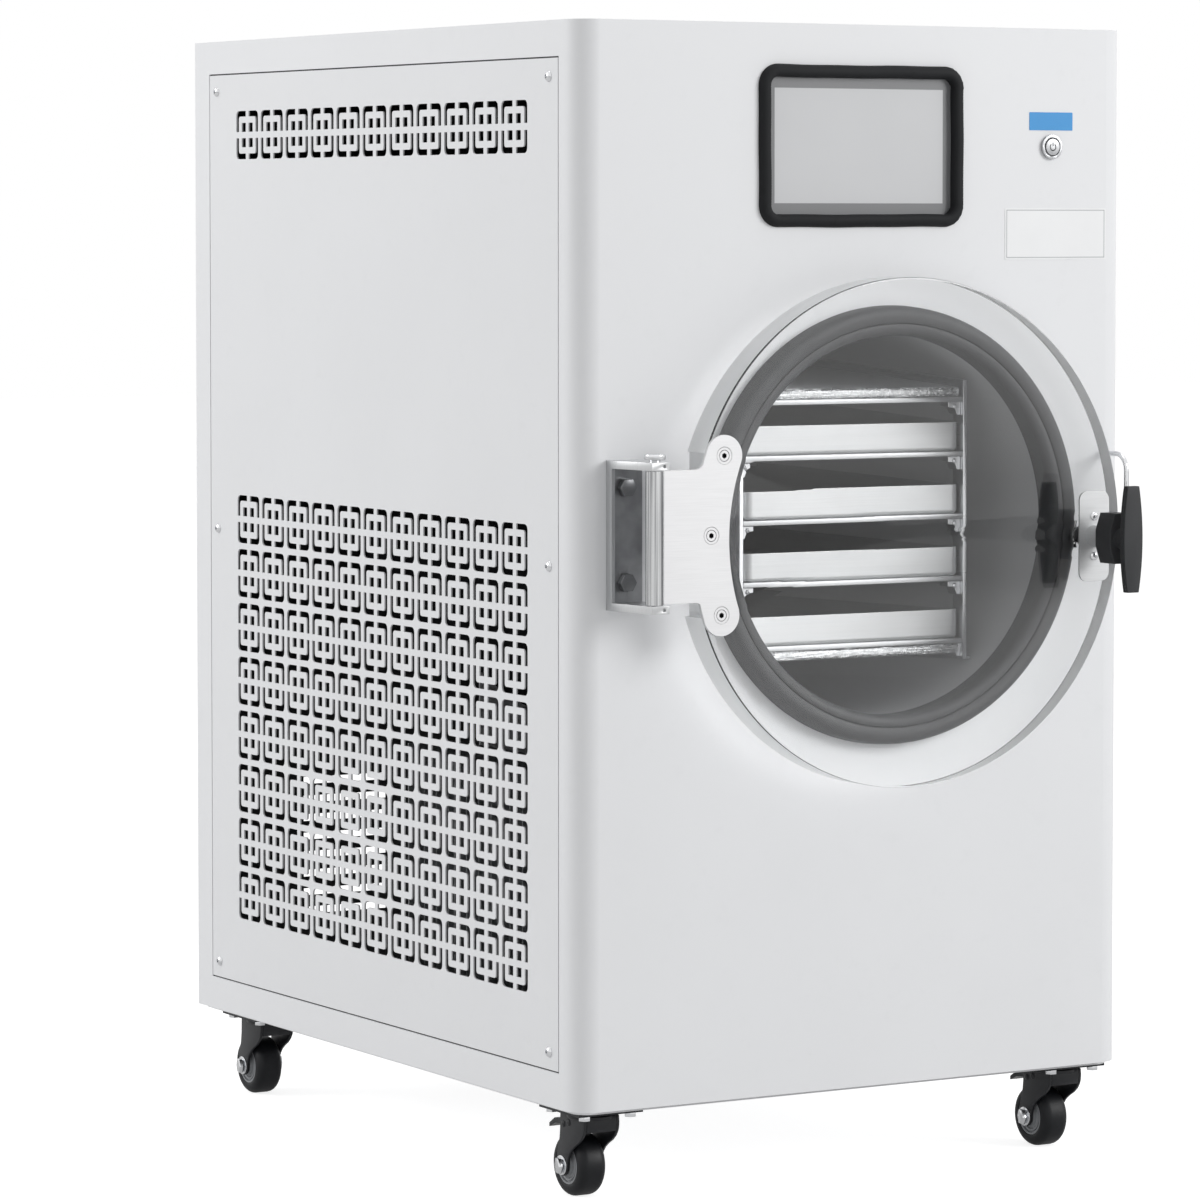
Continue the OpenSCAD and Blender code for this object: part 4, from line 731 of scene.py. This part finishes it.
# Solids of the CAD model that are seen as they are.
for material, *nodes in (
        ("cabinet_paint", "cabinet_shell", "top_cover"), ("panel_paint", "rear_panel"),
        ("zinc_sheet", "equipment_shelf", "control_box"), ("pan_coat", "base_pan"),
        ("chamber_steel", "chamber"), ("foam_skin", "chamber_jacket"), ("heater_rubber", "shelf_heaters"),
        ("copper_tube", "evaporator_coil", "refrigerant_pipes", "filter_drier"), ("brass", "drain_valve"),
        ("black_enamel", "compressor", "fan_shroud", "caster_plates"), ("tyre_rubber", "compressor_mounts"),
        ("fin_alloy", "condenser", "fan_rotor"), ("black_plastic", "power_inlet"),
        ("satin_steel", "vacuum_port"), ("red_enamel", "drain_lever"),
        ("screen_case", "display_module"), ("screen_glass", "display_glass")):
    for name in nodes:
        dress(frame["nodes"][name], material)

left = vented_panel("left_vented_panel")
right = mirrored(left, "right_vented_panel")
finish(left, "cabinet", "panel_paint", "panel_paint", "left_panel")
finish(right, "cabinet", "panel_paint", "panel_paint", "right_panel")


def solids_of(name):
    """Lowest and highest corners of each separate solid of a node, from the lowest and leftmost up."""
    piece = from_node(name, "solids", 0)
    edit(piece)
    bpy.ops.mesh.separate(type="LOOSE")
    bpy.ops.object.mode_set(mode="OBJECT")
    boxes = []
    for part in list(bpy.context.selected_objects):
        sides = list(zip(*[vertex.co for vertex in part.data.vertices]))
        boxes.append((Vector(map(min, sides)), Vector(map(max, sides))))
        bpy.data.objects.remove(part)
    return sorted(boxes, key=lambda box: [round(box[0][k], 4) for k in (2, 0, 1)])


def placed(model, name, point, direction):
    """A copy of a model that stands at the origin along +Z, put at a point and turned to a direction."""
    twin = copied(model, name)
    twin.rotation_euler = Vector(direction).to_track_quat("Z", "Y").to_euler()
    twin.location = point
    return settle(twin)


def drop(*pieces):
    for piece in pieces:
        bpy.data.objects.remove(piece)


def weigh_normals(piece):
    """Shades a rounded edge without tinting the flat sheets beside it."""
    smooth(piece, 40)
    return apply_modifier(piece, "WEIGHTED_NORMAL", weight=100, keep_sharp=True)


def as_drawn(node, name, round_off, segments, body, material, slot, flat=False):
    """A piece that keeps its node's shape, with its edges rounded off."""
    piece = from_node(node, name, round_off, segments)
    return finish(weigh_normals(piece) if flat else piece, body, material, slot, node)


def swept(name, path, profile, bulge=None):
    """A closed strip: a profile of (across, out) in millimetres carried round a path of (x, z, dx, dz)."""
    rows = len(path)
    piece = begin(name, bpy.ops.mesh.primitive_grid_add, x_subdivisions=rows, y_subdivisions=len(profile) - 1,
                  size=0.1)
    for k, vertex in enumerate(piece.data.vertices):
        i, j = k % (rows + 1), k // (rows + 1)
        x, z, nx, nz = path[i % rows]
        across, out = profile[j]
        if bulge:
            across, out = bulge(i % rows, across, out)
        vertex.co = at(x + nx * across, out, z + nz * across)
    return smooth(mend(piece), 50)


def rim_path(cx, cz, w, h, r, step, wander=0.0):
    """Points round a rectangle with round corners, about a step apart, each with its outward direction."""
    corners = rounded(cx, cz, w, h, r, 24)
    loop = corners + corners[:1]
    lengths = [math.dist(a, b) for a, b in zip(loop, loop[1:])]
    count = round(sum(lengths) / step)
    path, k, passed = [], 0, 0.0
    for n in range(count):
        target = sum(lengths) * n / count
        while passed + lengths[k] < target:
            passed += lengths[k]
            k += 1
        t = (target - passed) / max(lengths[k], 1e-9)
        a, b = loop[k], loop[k + 1]
        dx, dz = (b[0] - a[0]) / max(lengths[k], 1e-9), (b[1] - a[1]) / max(lengths[k], 1e-9)
        sway = wander * (math.sin(n * 0.043) + 0.6 * math.sin(n * 0.117 + 1.3))
        path.append((a[0] + (b[0] - a[0]) * t + dz * sway, a[1] + (b[1] - a[1]) * t - dx * sway, dz, -dx))
    return path


as_drawn("cabinet_shell", "cabinet_shell_sheet", 0, 2, "cabinet", "cabinet_paint", "cabinet_paint", flat=True)


def screw_model(radius, height, socket):
    """A domed screw head with a hexagon socket, at the origin."""
    dome = [(radius * across, height * up) for across, up in
            ((0, 1), (0.35, 0.97), (0.65, 0.8), (0.88, 0.5), (1, 0.16), (1, 0), (0, 0))]
    head = spun("screw_model", dome, Vector(), (0, 0, 1), 32)
    key = prism("socket", 6, socket, height * 1.2 * MM, (0, 0, height * 0.9 * MM))
    return smooth(cut(head, key), 28)


model = screw_model(4.2, 2.6, 1.55)
heads = []
for low, high in solids_of("panel_screws"):
    middle = (low + high) / 2
    if high.y > REAR + 0.001:
        spot, facing = Vector((middle.x, REAR, middle.z)), (0, 1, 0)
    else:
        side = 1 if middle.x > 0 else -1
        spot, facing = Vector((side * HALF_W, middle.y, middle.z)), (side, 0, 0)
    heads.append(placed(model, "panel_screw", spot, facing))
drop(model)
finish(add_on(*heads), "cabinet", "polished_steel", "bright_steel", "panel_screws")


# ---------- display, switch and labels ----------

def front_place(point):
    """A point's x and height in millimetres."""
    return point.x / MM, (point.z - BASE) / MM


low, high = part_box("display_trim")
trim_x, trim_z = front_place((low + high) / 2)
trim_w, trim_h = (high.x - low.x) / MM, (high.z - low.z) / MM
edging_profile = [(0.3, -2.3), (0.35, 0.5), (0.7, 3.2), (1.7, 4.9), (3.3, 5.65), (5.1, 5.75), (7.0, 5.35),
                  (8.6, 4.3), (9.7, 2.6), (10.1, 0.9), (10.1, 0.06), (0.3, 0.06)]


def rib(k, across, out):
    """Every other step of the edging stands a little lower."""
    if k % 2 and out > 0.4:
        return across + (0.12 if across < 3 else -0.12 if across > 8 else 0), out - 0.2
    return across, out


EDGING = 21  # the edging's own width takes this much off the opening
edging = swept("display_edging", rim_path(trim_x, trim_z, trim_w - EDGING, trim_h - EDGING, 6.5, 1.0, 0.22),
               edging_profile + edging_profile[:1], rib)
finish(edging, "cabinet", "edging_rubber", "trim_rubber", "display_trim")

low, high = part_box("power_switch_body")
bezel_r = (high.x - low.x) / 2
low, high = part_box("power_button")
button_x, button_z = front_place((low + high) / 2)
button_out, button_r = (FRONT - low.y) / MM, (high.x - low.x) / 2

# The turned bezel is painted dark in the groove round its button and in a line round its foot, painted shade in
# the groove and at its seam with the sheet.
LINE, SOFT = 0.0009, 0.0003
shader, place, skin = reopened("bezel_steel")
middle = at(button_x, 0, button_z)
across = vector_maths("MULTIPLY_ADD", place, (1, 0, 1), (-middle.x, 0, -middle.z))["Vector"]
reach = vector_maths("LENGTH", across)["Value"]
groove_shade = remap(reach, button_r + LINE, button_r + LINE + SOFT, 1.0, 0.0)
foot = remap(reach, bezel_r - LINE, bezel_r - LINE + SOFT)
fill(shader, Base_Color=mixed(maths("MAXIMUM", groove_shade, foot), skin, linear(92, 93, 95)))

as_drawn("power_switch_body", "switch_bezel", 0.5, 3, "cabinet", "bezel_steel", "bright_steel")
as_drawn("power_button", "switch_button", 0.45, 3, "power_button", "button_steel", "button_metal")
ring = arc(button_x, button_z, 3.1, 125, 415, 28) + arc(button_x, button_z, 2.2, 415, 125, 28)
bar = [(button_x + x, button_z + z) for x, z in ((-0.45, 0.6), (0.45, 0.6), (0.45, 3.8), (-0.45, 3.8))]
mark, stroke = [front_slab(name, outline, button_out - 0.05, button_out + 0.03)
                for name, outline in (("power_mark", ring), ("power_stroke", bar))]
finish(add_on(mark, stroke), "power_button", "black_enamel", "black_paint")

notice_box, blue_box = solids_of("label_plates")


def film(name, low, high, corner):
    """A thin stuck-on film with round corners and a soft edge."""
    (x0, z0), (x1, z1) = front_place(low), front_place(high)
    outline = rounded((x0 + x1) / 2, (z0 + z1) / 2, x1 - x0, z1 - z0, corner, 6)
    return bevel(front_slab(name, outline, 0.02, (FRONT - low.y) / MM), 0.08, 2, 60)


finish(film("notice_label", *notice_box, 0.8), "cabinet", "notice_film", "label_film", "label_plates")
finish(film("blue_label", *blue_box, 0.6), "cabinet", "blue_film", "label_film", "label_plates")


# ---------- chamber, rack and trays ----------

chamber_x, chamber_z = front_place(sum(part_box("chamber_gasket"), Vector()) / 2)
as_drawn("chamber", "chamber_liner", 0, 2, "cabinet", "chamber_steel", "chamber_steel")
gasket_profile = [(144.0, -10), (144.0, 5.5), (144.4, 8.0), (145.4, 10.2), (147.2, 11.8), (149.6, 12.6),
                  (152.0, 12.7), (153.2, 12.3), (153.6, 11.5), (154.0, 12.4), (154.8, 12.9), (156.8, 13.4),
                  (159.2, 13.7), (161.6, 13.5), (163.7, 12.6), (165.3, 11.0), (166.2, 8.9), (166.5, 6.5),
                  (166.5, 0.05), (154.05, 0.05), (154.05, 8.05), (151.95, 8.05), (151.95, -10)]
gasket = smooth(turned("door_gasket", gasket_profile, chamber_x, chamber_z, 160), 40)
finish(gasket, "cabinet", "gasket_rubber", "gasket_rubber", "chamber_gasket")


def tray_pan(name, low, high):
    """A pressed tray with round corners, a curved foot and a small rim."""
    cx, cy = (low.x + high.x) / 2 / MM, (low.y + high.y) / 2 / MM
    w, l = (high.x - low.x) / MM, (high.y - low.y) / MM
    outline = [Vector((x * MM, y * MM, low.z)) for x, y in rounded(cx, cy, w - 0.4, l - 0.4, 8, 6)]
    pan = slab(name, outline, (0, 0, high.z - low.z))
    pick_faces(pan, lambda c, n: n.z > 0.9)
    bpy.ops.mesh.delete(type="ONLY_FACE")
    close(pan)
    pick_edges(pan, on_plane(2, low.z))
    bpy.ops.mesh.bevel(offset=3.2 * MM, segments=5)
    close(pan)
    return bevel(apply_modifier(pan, "SOLIDIFY", thickness=1.0 * MM, offset=-1), 0.25, 2, 60)


for k in range(1, 5):
    pan = weigh_normals(tray_pan("tray_pan_%d" % k, *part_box("tray_%d" % k)))
    finish(pan, "cabinet", "tray_steel", "tray_steel", "tray_%d" % k)
as_drawn("rack_frame", "rack_bars", 0.5, 2, "cabinet", "rack_alloy", "rack_metal")
as_drawn("shelf_plates", "shelf_sheets", 0.6, 3, "cabinet", "rack_alloy", "rack_metal")


def foil_wrap(name, low, high):
    """Insulation wrapped in foil tape, flat in its middle and rucked toward its ends."""
    wrap = box_piece(name, low, high, 2.2, 3)
    edit(wrap)
    bpy.ops.mesh.subdivide(number_cuts=5)
    close(wrap)
    for k, cuts in ((0, 60), (1, 24)):
        edit(wrap)
        for n in range(1, cuts):
            point = Vector(low)
            point[k] += (high[k] - low[k]) * n / cuts
            slice_at(point, (1 - k, k, 0))
        close(wrap)
    mend(wrap)
    for vertex in wrap.data.vertices:
        p = vertex.co
        edge = min(p.x - low.x, high.x - p.x)
        ruck = 0.35 + 1.1 * max(0.0, 1 - edge / 0.055)
        ripple = math.sin(p.x * 900 + 5 * math.sin(p.z * 300 + p.y * 90)) * 0.45 + random.uniform(-0.5, 0.5)
        for axis in (1, 2):
            middle = (low[axis] + high[axis]) / 2
            if p.y < low.y + 0.006 and abs(p[axis] - middle) > (high[axis] - low[axis]) * 0.3:
                inward = -1 if p[axis] > middle else 1
                p[axis] += inward * abs(ripple) * ruck * MM
    return smooth(wrap, 60)


THINNER = Vector((0, 0, 0.005))  # the wrap is this much thinner than its solid, on its outer side
for k, (low, high) in enumerate(solids_of("rack_insulation")):
    low, high = (low, high - THINNER) if k else (low + THINNER, high)
    wrap = foil_wrap("foil_wrap_%s" % ("bottom", "top")[k], low, high)
    finish(wrap, "cabinet", "foil_tape", "foil", "rack_insulation")


def shelf_bracket(name, x, side, out, top):
    """The small angle under a shelf's end (side is 1 at its right end), with its screw."""
    outline = [(-9, 0), (2, 0), (2, -10), (-1, -10), (-3, -5), (-9, -4)][::side]
    plate = front_slab(name, [(x + side * across, top + up) for across, up in outline], out - 12, out - 0.5)
    bevel(plate, 0.4, 2)
    screw = placed(bracket_screw, name + "_screw", at(x - side * 3.5, out - 0.5, top - 3.4), (0, -1, 0))
    return add_on(plate, screw)


bracket_screw = screw_model(1.9, 1.3, 0.8)
brackets = []
rack_low, rack_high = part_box("rack_frame")
for low, high in solids_of("shelf_plates"):
    under = (low.z - BASE) / MM
    for side, end in ((1, rack_high.x), (-1, rack_low.x)):
        brackets.append(shelf_bracket("shelf_bracket", end / MM - side * 9.4, side, (FRONT - low.y) / MM - 3,
                                      under - 0.1))
drop(bracket_screw)
finish(add_on(*brackets), "cabinet", "rack_alloy", "rack_metal")


# ---------- hinge ----------

JOINT = {j["name"]: Vector(j["pos_m"]) for j in frame["joints"] if "pos_m" in j}
disc_low, disc_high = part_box("door_disc")
door_back, door_front = (FRONT - disc_high.y) / MM, (FRONT - disc_low.y) / MM
door_r = (disc_high.z - disc_low.z) / 2 / MM
door_z = ((disc_high.z + disc_low.z) / 2 - BASE) / MM
door_x = disc_high.x / MM - door_r
hinge_z = front_place(JOINT["door_hinge"])[1]
latch_x, latch_z = front_place(JOINT["latch_turn"])
LEAF_FACE, PLATE_FACE = 44, 42.5  # the outer faces of the hinge leaf and the latch plate, out from the front
SCREW_ARC, SCREW_TURN = 180.0, 19.3  # the leaf's screws stand on this radius, this many degrees apart
PLATE_SCREWS = [(latch_x, latch_z - 15.5), (latch_x, latch_z + 15.5)]


def leaf_screws(x, z):
    """The places of the leaf's three screws, on an arc about a centre and even about the hinge's middle."""
    middle = 180 - math.degrees(math.asin((hinge_z - z) / SCREW_ARC))
    return arc(x, z, SCREW_ARC, middle - SCREW_TURN, middle + SCREW_TURN, 2)


def screw_head(name, spot, facing, radius, height, socket):
    """A domed screw head standing on a point."""
    pattern = screw_model(radius, height, socket)
    head = placed(pattern, name, spot, facing)
    drop(pattern)
    return head


as_drawn("hinge_bracket", "hinge_bracket_steel", 0.9, 3, "cabinet", "bracket_steel", "steel")
as_drawn("hinge_bolts", "hinge_bolt_heads", 0.6, 3, "cabinet", "dull_steel", "steel")
as_drawn("hinge_pin", "hinge_pin_rod", 0.7, 3, "cabinet", "polished_steel", "steel")
as_drawn("hinge_leaf", "hinge_leaf_plate", 0.5, 3, "door", "leaf_steel", "steel", flat=True)


def door_screw_model():
    """Countersunk head with a hexagon socket and a ring turned in its face, at the origin. The faces in the
    ring, at the head's outer edge and in the socket are painted black as painted shade.
    """
    r = 6.45
    profile = [(0, -0.2), (4.0, -0.2), (4.1, -0.7), (4.35, -0.7), (4.45, -0.2), (r - 0.1, -0.2), (r, -0.3),
               (r, -1.0), (3.1, -3.8), (3.1, -16.5), (2.6, -17.1), (0, -17.1)]
    head = spun("door_screw_model", profile, Vector(), (0, 0, 1), 64)
    head = smooth(cut(head, prism("socket", 6, 2.2, 6 * MM, (0, 0, 0))), 28)
    dress(head, "leaf_steel", "groove_shade_black")
    for face in head.data.polygons:
        across, up = math.hypot(face.center.x, face.center.y) / MM, face.center.z / MM
        groove_shade = 4.05 < across < 4.4 and up < -0.3 or across > r - 0.08 or across < 2.25 and up < -0.3
        face.material_index = 1 if groove_shade else 0
    return head


pattern = door_screw_model()
screws = [placed(pattern, "door_screw", at(x, LEAF_FACE, z), (0, -1, 0)) for x, z in leaf_screws(20, 428.5)]
drop(pattern)
finish(add_on(*screws), "door", None, "steel", "door_screws")
screws = []
for x, z in PLATE_SCREWS:
    screws.append(screw_head("latch_plate_screw", at(x, PLATE_FACE, z), (0, -1, 0), 3.4, 2.2, 1.3))
    screws.append(rod("latch_screw_shank", at(x, 0, z), 1.45, FRONT - PLATE_FACE * MM, FRONT - 0.029, "Y",
                      20, 0))
finish(add_on(*screws), "door", "polished_steel", "bright_steel", "door_screws")


# ---------- door ----------

EASE = 1.5  # radius of the disc's edges
FLAT_X, FLAT_HALF = -161, 61.5  # place and half length of the flat for the barrel


def clear_disc():
    """Thick clear disc with eased edges, a flat for the barrel, and its bores."""
    ease = arc(door_r - EASE, EASE, EASE, -90, 0, 6)
    profile = [(0, door_back)] + [(r, door_back + h) for r, h in ease]
    profile += [(r, door_front - h) for r, h in reversed(ease)] + [(0, door_front)]
    disc = turned("clear_door", profile, door_x, door_z, 240)
    low, high = hinge_z - FLAT_HALF, hinge_z + FLAT_HALF
    flat = front_slab("flat", [(FLAT_X, low), (-230, low), (-230, high), (FLAT_X, high)], 0, 60)
    bevel(flat, 0.7, 2)
    pocket = [(0, 0), (8.1, 0), (8.1, door_back + 4), (0, door_back + 4)]
    tools = [flat, turned("bore", [(0, 0), (4.3, 0), (4.3, 60), (0, 60)], latch_x, latch_z, 40),
             turned("pocket", pocket, latch_x, latch_z, 48)]
    for places, r, end, steps in ((leaf_screws(door_x, door_z), 3.15, 24, 32),
                                  (PLATE_SCREWS, 1.55, 28.5, 20)):
        for x, z in places:
            tools.append(turned("screw_bore", [(0, end), (r, end), (r, 50), (0, 50)], x, z, steps))
    return smooth(cut(disc, *tools), 40)


def frost_rim(disc):
    """Gives the turned rim and the sawn flat their lightly frosted finish."""
    dress(disc, "clear_plastic", "turned_rim")
    for face in disc.data.polygons:
        x, z = front_place(face.center)
        outside = math.hypot(x - door_x, z - door_z) > door_r - EASE - 0.1 or x < FLAT_X + 0.5
        face.material_index = 1 if outside and abs(face.normal.y) < 0.3 else 0
    return disc


disc = frost_rim(clear_disc())
disc.visible_shadow = False
finish(disc, "door", None, "clear_acrylic", "door_disc")


# ---------- latch and catch ----------

as_drawn("latch_plate", "latch_plate_steel", 0.35, 2, "door", "plate_steel", "bright_steel", flat=True)
# The grip's tapered hub, round neck and T have soft edges.
grip = smooth(from_node("latch_handle", "latch_grip", 1.3, 4, 25), 36)
finish(grip, "latch", "grip_plastic", "black_rubber", "latch_handle")
as_drawn("latch_shaft", "latch_shaft_rod", 0.35, 2, "latch", "black_enamel", "black_paint")
hook = smooth(from_node("catch_hook", "catch_rod", 0), 60)
finish(hook, "hook", "polished_steel", "bright_steel", "catch_hook")


# ---------- casters ----------

WHEEL_R, TYRE_HALF, LEG_IN, LEG_OUT = 24.0, 11.5, 13.0, 15.5
TRAIL, AXLE_Z, FORK_TOP = 17.5, 24.0, 65.0
WASHER_IN, WASHER_OUT, NUT_IN = 15.55, 16.35, 16.4  # faces of the axle's washers and nuts, from the middle


def at_pin(i, across, along, up):
    """A point by a caster's king pin: millimetres across, behind it and above the floor."""
    pin = JOINT["caster_swivel_%d" % i]
    return Vector((pin.x + across * MM, pin.y + along * MM, up * MM))


def fork_slab(i, name, outline, x0, x1):
    pin = JOINT["caster_swivel_%d" % i]
    return side_slab(name, [(pin.y + u * MM, z * MM) for u, z in outline], pin.x + x0 * MM, pin.x + x1 * MM)


def caster_fork(i):
    """Pressed fork: two legs that sweep down to the axle, and a hood round the front of the wheel."""
    hood_out = [(-16, FORK_TOP), (-16.6, 59.5), (-16.2, 55.5), (-15.2, 52.5)]
    hood_in = [(-12.8, 53.4), (-13.7, 56.2), (-14.1, 59.7), (-13.5, FORK_TOP)]
    leg = [(20, FORK_TOP)] + hood_out
    leg += [(-12.6, 48.6), (-8, 44.6), (-2, 41.2), (3, 37.6), (6.6, 33.4), (8.8, 28.6)]
    leg += arc(TRAIL, AXLE_Z, 8.2, 205, 380, 7) + [(24.6, 34), (21.4, 44), (20.4, 52)]
    parts = [bevel(fork_slab(i, "fork_leg", leg, x0, x1), 0.7, 3, 40)
             for x0, x1 in ((-LEG_OUT, -LEG_IN), (LEG_IN, LEG_OUT))]
    hood = fork_slab(i, "fork_hood", hood_out + hood_in, -LEG_IN + 0.02, LEG_IN - 0.02)
    parts.append(bevel(hood, 0.5, 2, 40))
    top = [(20, FORK_TOP - 0.05), (-16, FORK_TOP - 0.05), (-16, FORK_TOP - 3), (20, FORK_TOP - 3)]
    crown = fork_slab(i, "fork_crown", top, -LEG_IN + 0.03, LEG_IN - 0.03)
    bore = rod("bore", at_pin(i, 0, 0, 0), 5.3, 0.055, 0.07, "Z", 32, 0)
    parts.append(bevel(cut(crown, bore), 0.4, 2, 50))
    race = spun("fork_race", [(5.3, 0), (17.5, 0), (18.4, 0.8), (18.4, 2.6), (17.6, 3.2), (5.3, 3.2)],
                at_pin(i, 0, 0, FORK_TOP - 3.2), (0, 0, 1), 64)
    parts.append(smooth(race, 40))
    if i < 3:
        for along, up in ((15, 56), (7, 58)):
            for side in (-1, 1):
                spot = at_pin(i, side * LEG_OUT, along, up)
                parts.append(screw_head("fork_rivet", spot, (side, 0, 0), 2.6, 1.0, 0.2))
    return smooth(add_on(*parts), 40)


def axle_set(i):
    """Axle with its hexagon head and its nut, each with a washer."""
    axle = JOINT["wheel_spin_%d" % i]
    parts = [rod("axle_bar", axle, 3.95, axle.x - 0.0152, axle.x + 0.0152, "X", 40, 0)]
    for side, reach in ((-1, 20.0), (1, 20.4)):
        middle = axle + Vector((side * (reach + NUT_IN) / 2 * MM, 0, 0))
        nut = prism("axle_nut", 6, 6.5, (reach - NUT_IN) * MM, middle, (0.25, math.pi / 2, 0))
        parts.append(bevel(nut, 0.6, 2, 40))
        a, b = sorted((axle.x + side * WASHER_IN * MM, axle.x + side * WASHER_OUT * MM))
        parts.append(rod("axle_washer", axle, 7.6, a, b, "X", 48, 0.2))
    return smooth(add_on(*parts), 35)


def wheel_tyre(i):
    """Round-edged tyre with a moulded step on each flank."""
    half, r, edge = TYRE_HALF, WHEEL_R, 6.5
    right = [(15.2, half - 0.4), (16.2, half)] + arc(r - edge, half - edge, edge, 90, 0, 6)
    left = [(rr, -h) for rr, h in reversed(right)]
    profile = right + [(r, 0)] + left + [(15.2, -half + 3.5), (15.2, half - 3.5)]
    tyre = spun("wheel_tyre_%d" % i, profile, JOINT["wheel_spin_%d" % i], (1, 0, 0), 96)
    return smooth(tyre, 40)


def wheel_hub(i):
    """Moulded hub with two raised rings, and a bearing cover at its middle."""
    half = TYRE_HALF
    right = [(7.0, 12.45), (8.2, 12.45), (8.6, half - 1.4), (10.2, half - 2.4), (10.7, half - 1.2),
             (11.9, half - 1.2), (12.3, half - 2.6), (13.3, half - 2.6), (13.6, half - 0.7),
             (14.9, half - 0.7), (15.15, half - 1.2)]
    left = [(rr, -h) for rr, h in reversed(right)]
    profile = [(4.15, 12.45)] + right + left + [(4.15, -12.45)]
    return smooth(spun("wheel_hub_%d" % i, profile, JOINT["wheel_spin_%d" % i], (1, 0, 0), 96), 35)


for i in range(1, 5):
    finish(caster_fork(i), "caster_fork_%d" % i, "black_enamel", "black_paint", "fork_%d" % i)
    finish(axle_set(i), "caster_fork_%d" % i, "polished_steel", "zinc")
    finish(wheel_tyre(i), "caster_wheel_%d" % i, "tyre_rubber", "wheel_tyre", "wheel_%d" % i)
    finish(wheel_hub(i), "caster_wheel_%d" % i, "hub_plastic", "wheel_tyre")
for i in (1, 2):
    as_drawn("brake_pedal_%d" % i, "brake_lever_%d" % i, 0.8, 3, "brake_%d" % i, "black_enamel",
             "black_paint")
as_drawn("caster_bolts", "caster_bolt_heads", 0.4, 2, "cabinet", "polished_steel", "zinc")


# ---------- floor, light and camera ----------

floor = settle(begin("floor", bpy.ops.mesh.primitive_plane_add, size=24, location=(0, 4, 0)))
shader, place = new_material("floor_white", Base_Color=(0.5, 0.5, 0.5, 1), Roughness=0.9,
                             Specular_IOR_Level=0.0, Emission_Color=(1, 1, 1, 1))
seen = node(shader, "ShaderNodeLightPath").outputs["Is Camera Ray"]
fill(shader, Emission_Strength=maths("MULTIPLY_ADD", seen, 0.58, 0.24))
dress(floor, "floor_white")

world = bpy.data.worlds.new("studio_white")
world.use_nodes = True
bpy.context.scene.world = world
background = world.node_tree.nodes["Background"]
path = node(background, "ShaderNodeLightPath").outputs
before_sheet = maths("LESS_THAN", path["Diffuse Depth"], 0.5)
through = maths("MAXIMUM", path["Is Transmission Ray"], path["Is Glossy Ray"])
through = maths("MULTIPLY", through, before_sheet)
seen = maths("MAXIMUM", path["Is Camera Ray"], through)
fill(background, Color=(1, 1, 1, 1), Strength=maths("MULTIPLY_ADD", seen, 0.55, 0.45))


def lamp(name, location, target, power, width, height):
    light = begin(name, bpy.ops.object.light_add, type="AREA", location=location)
    light.data.shape = "RECTANGLE"
    light.data.size, light.data.size_y, light.data.energy = width, height, power
    light.visible_transmission = False
    light.rotation_euler = (Vector(target) - Vector(location)).to_track_quat("-Z", "Y").to_euler()
    return light


lamp("right_softbox", (2.9, -3.6, 2.2), (0, 0, 0.45), 97, 2.0, 2.0)
lamp("left_softbox", (-3.6, 2.0, 2.3), (0, 0, 0.6), 72, 2.0, 2.0)
lamp("top_softbox", (0.2, 0.2, 3.2), (0, 0, 0.4), 20, 2.4, 2.4)

camera_data = bpy.data.cameras.new("camera")
camera_data.lens, camera_data.sensor_width = 156.530, 36.0
camera_data.shift_y = -0.10
camera_data.clip_start, camera_data.clip_end = 0.05, 100.0
camera = bpy.data.objects.new("camera", camera_data)
bpy.context.scene.collection.objects.link(camera)
camera.location = (-2.18708, -3.63614, 0.74062)
camera.rotation_euler = (math.radians(90 - 2.8723), 0, math.radians(-30.3685))
bpy.context.scene.camera = camera

bpy.context.scene.view_settings.view_transform = "Standard"
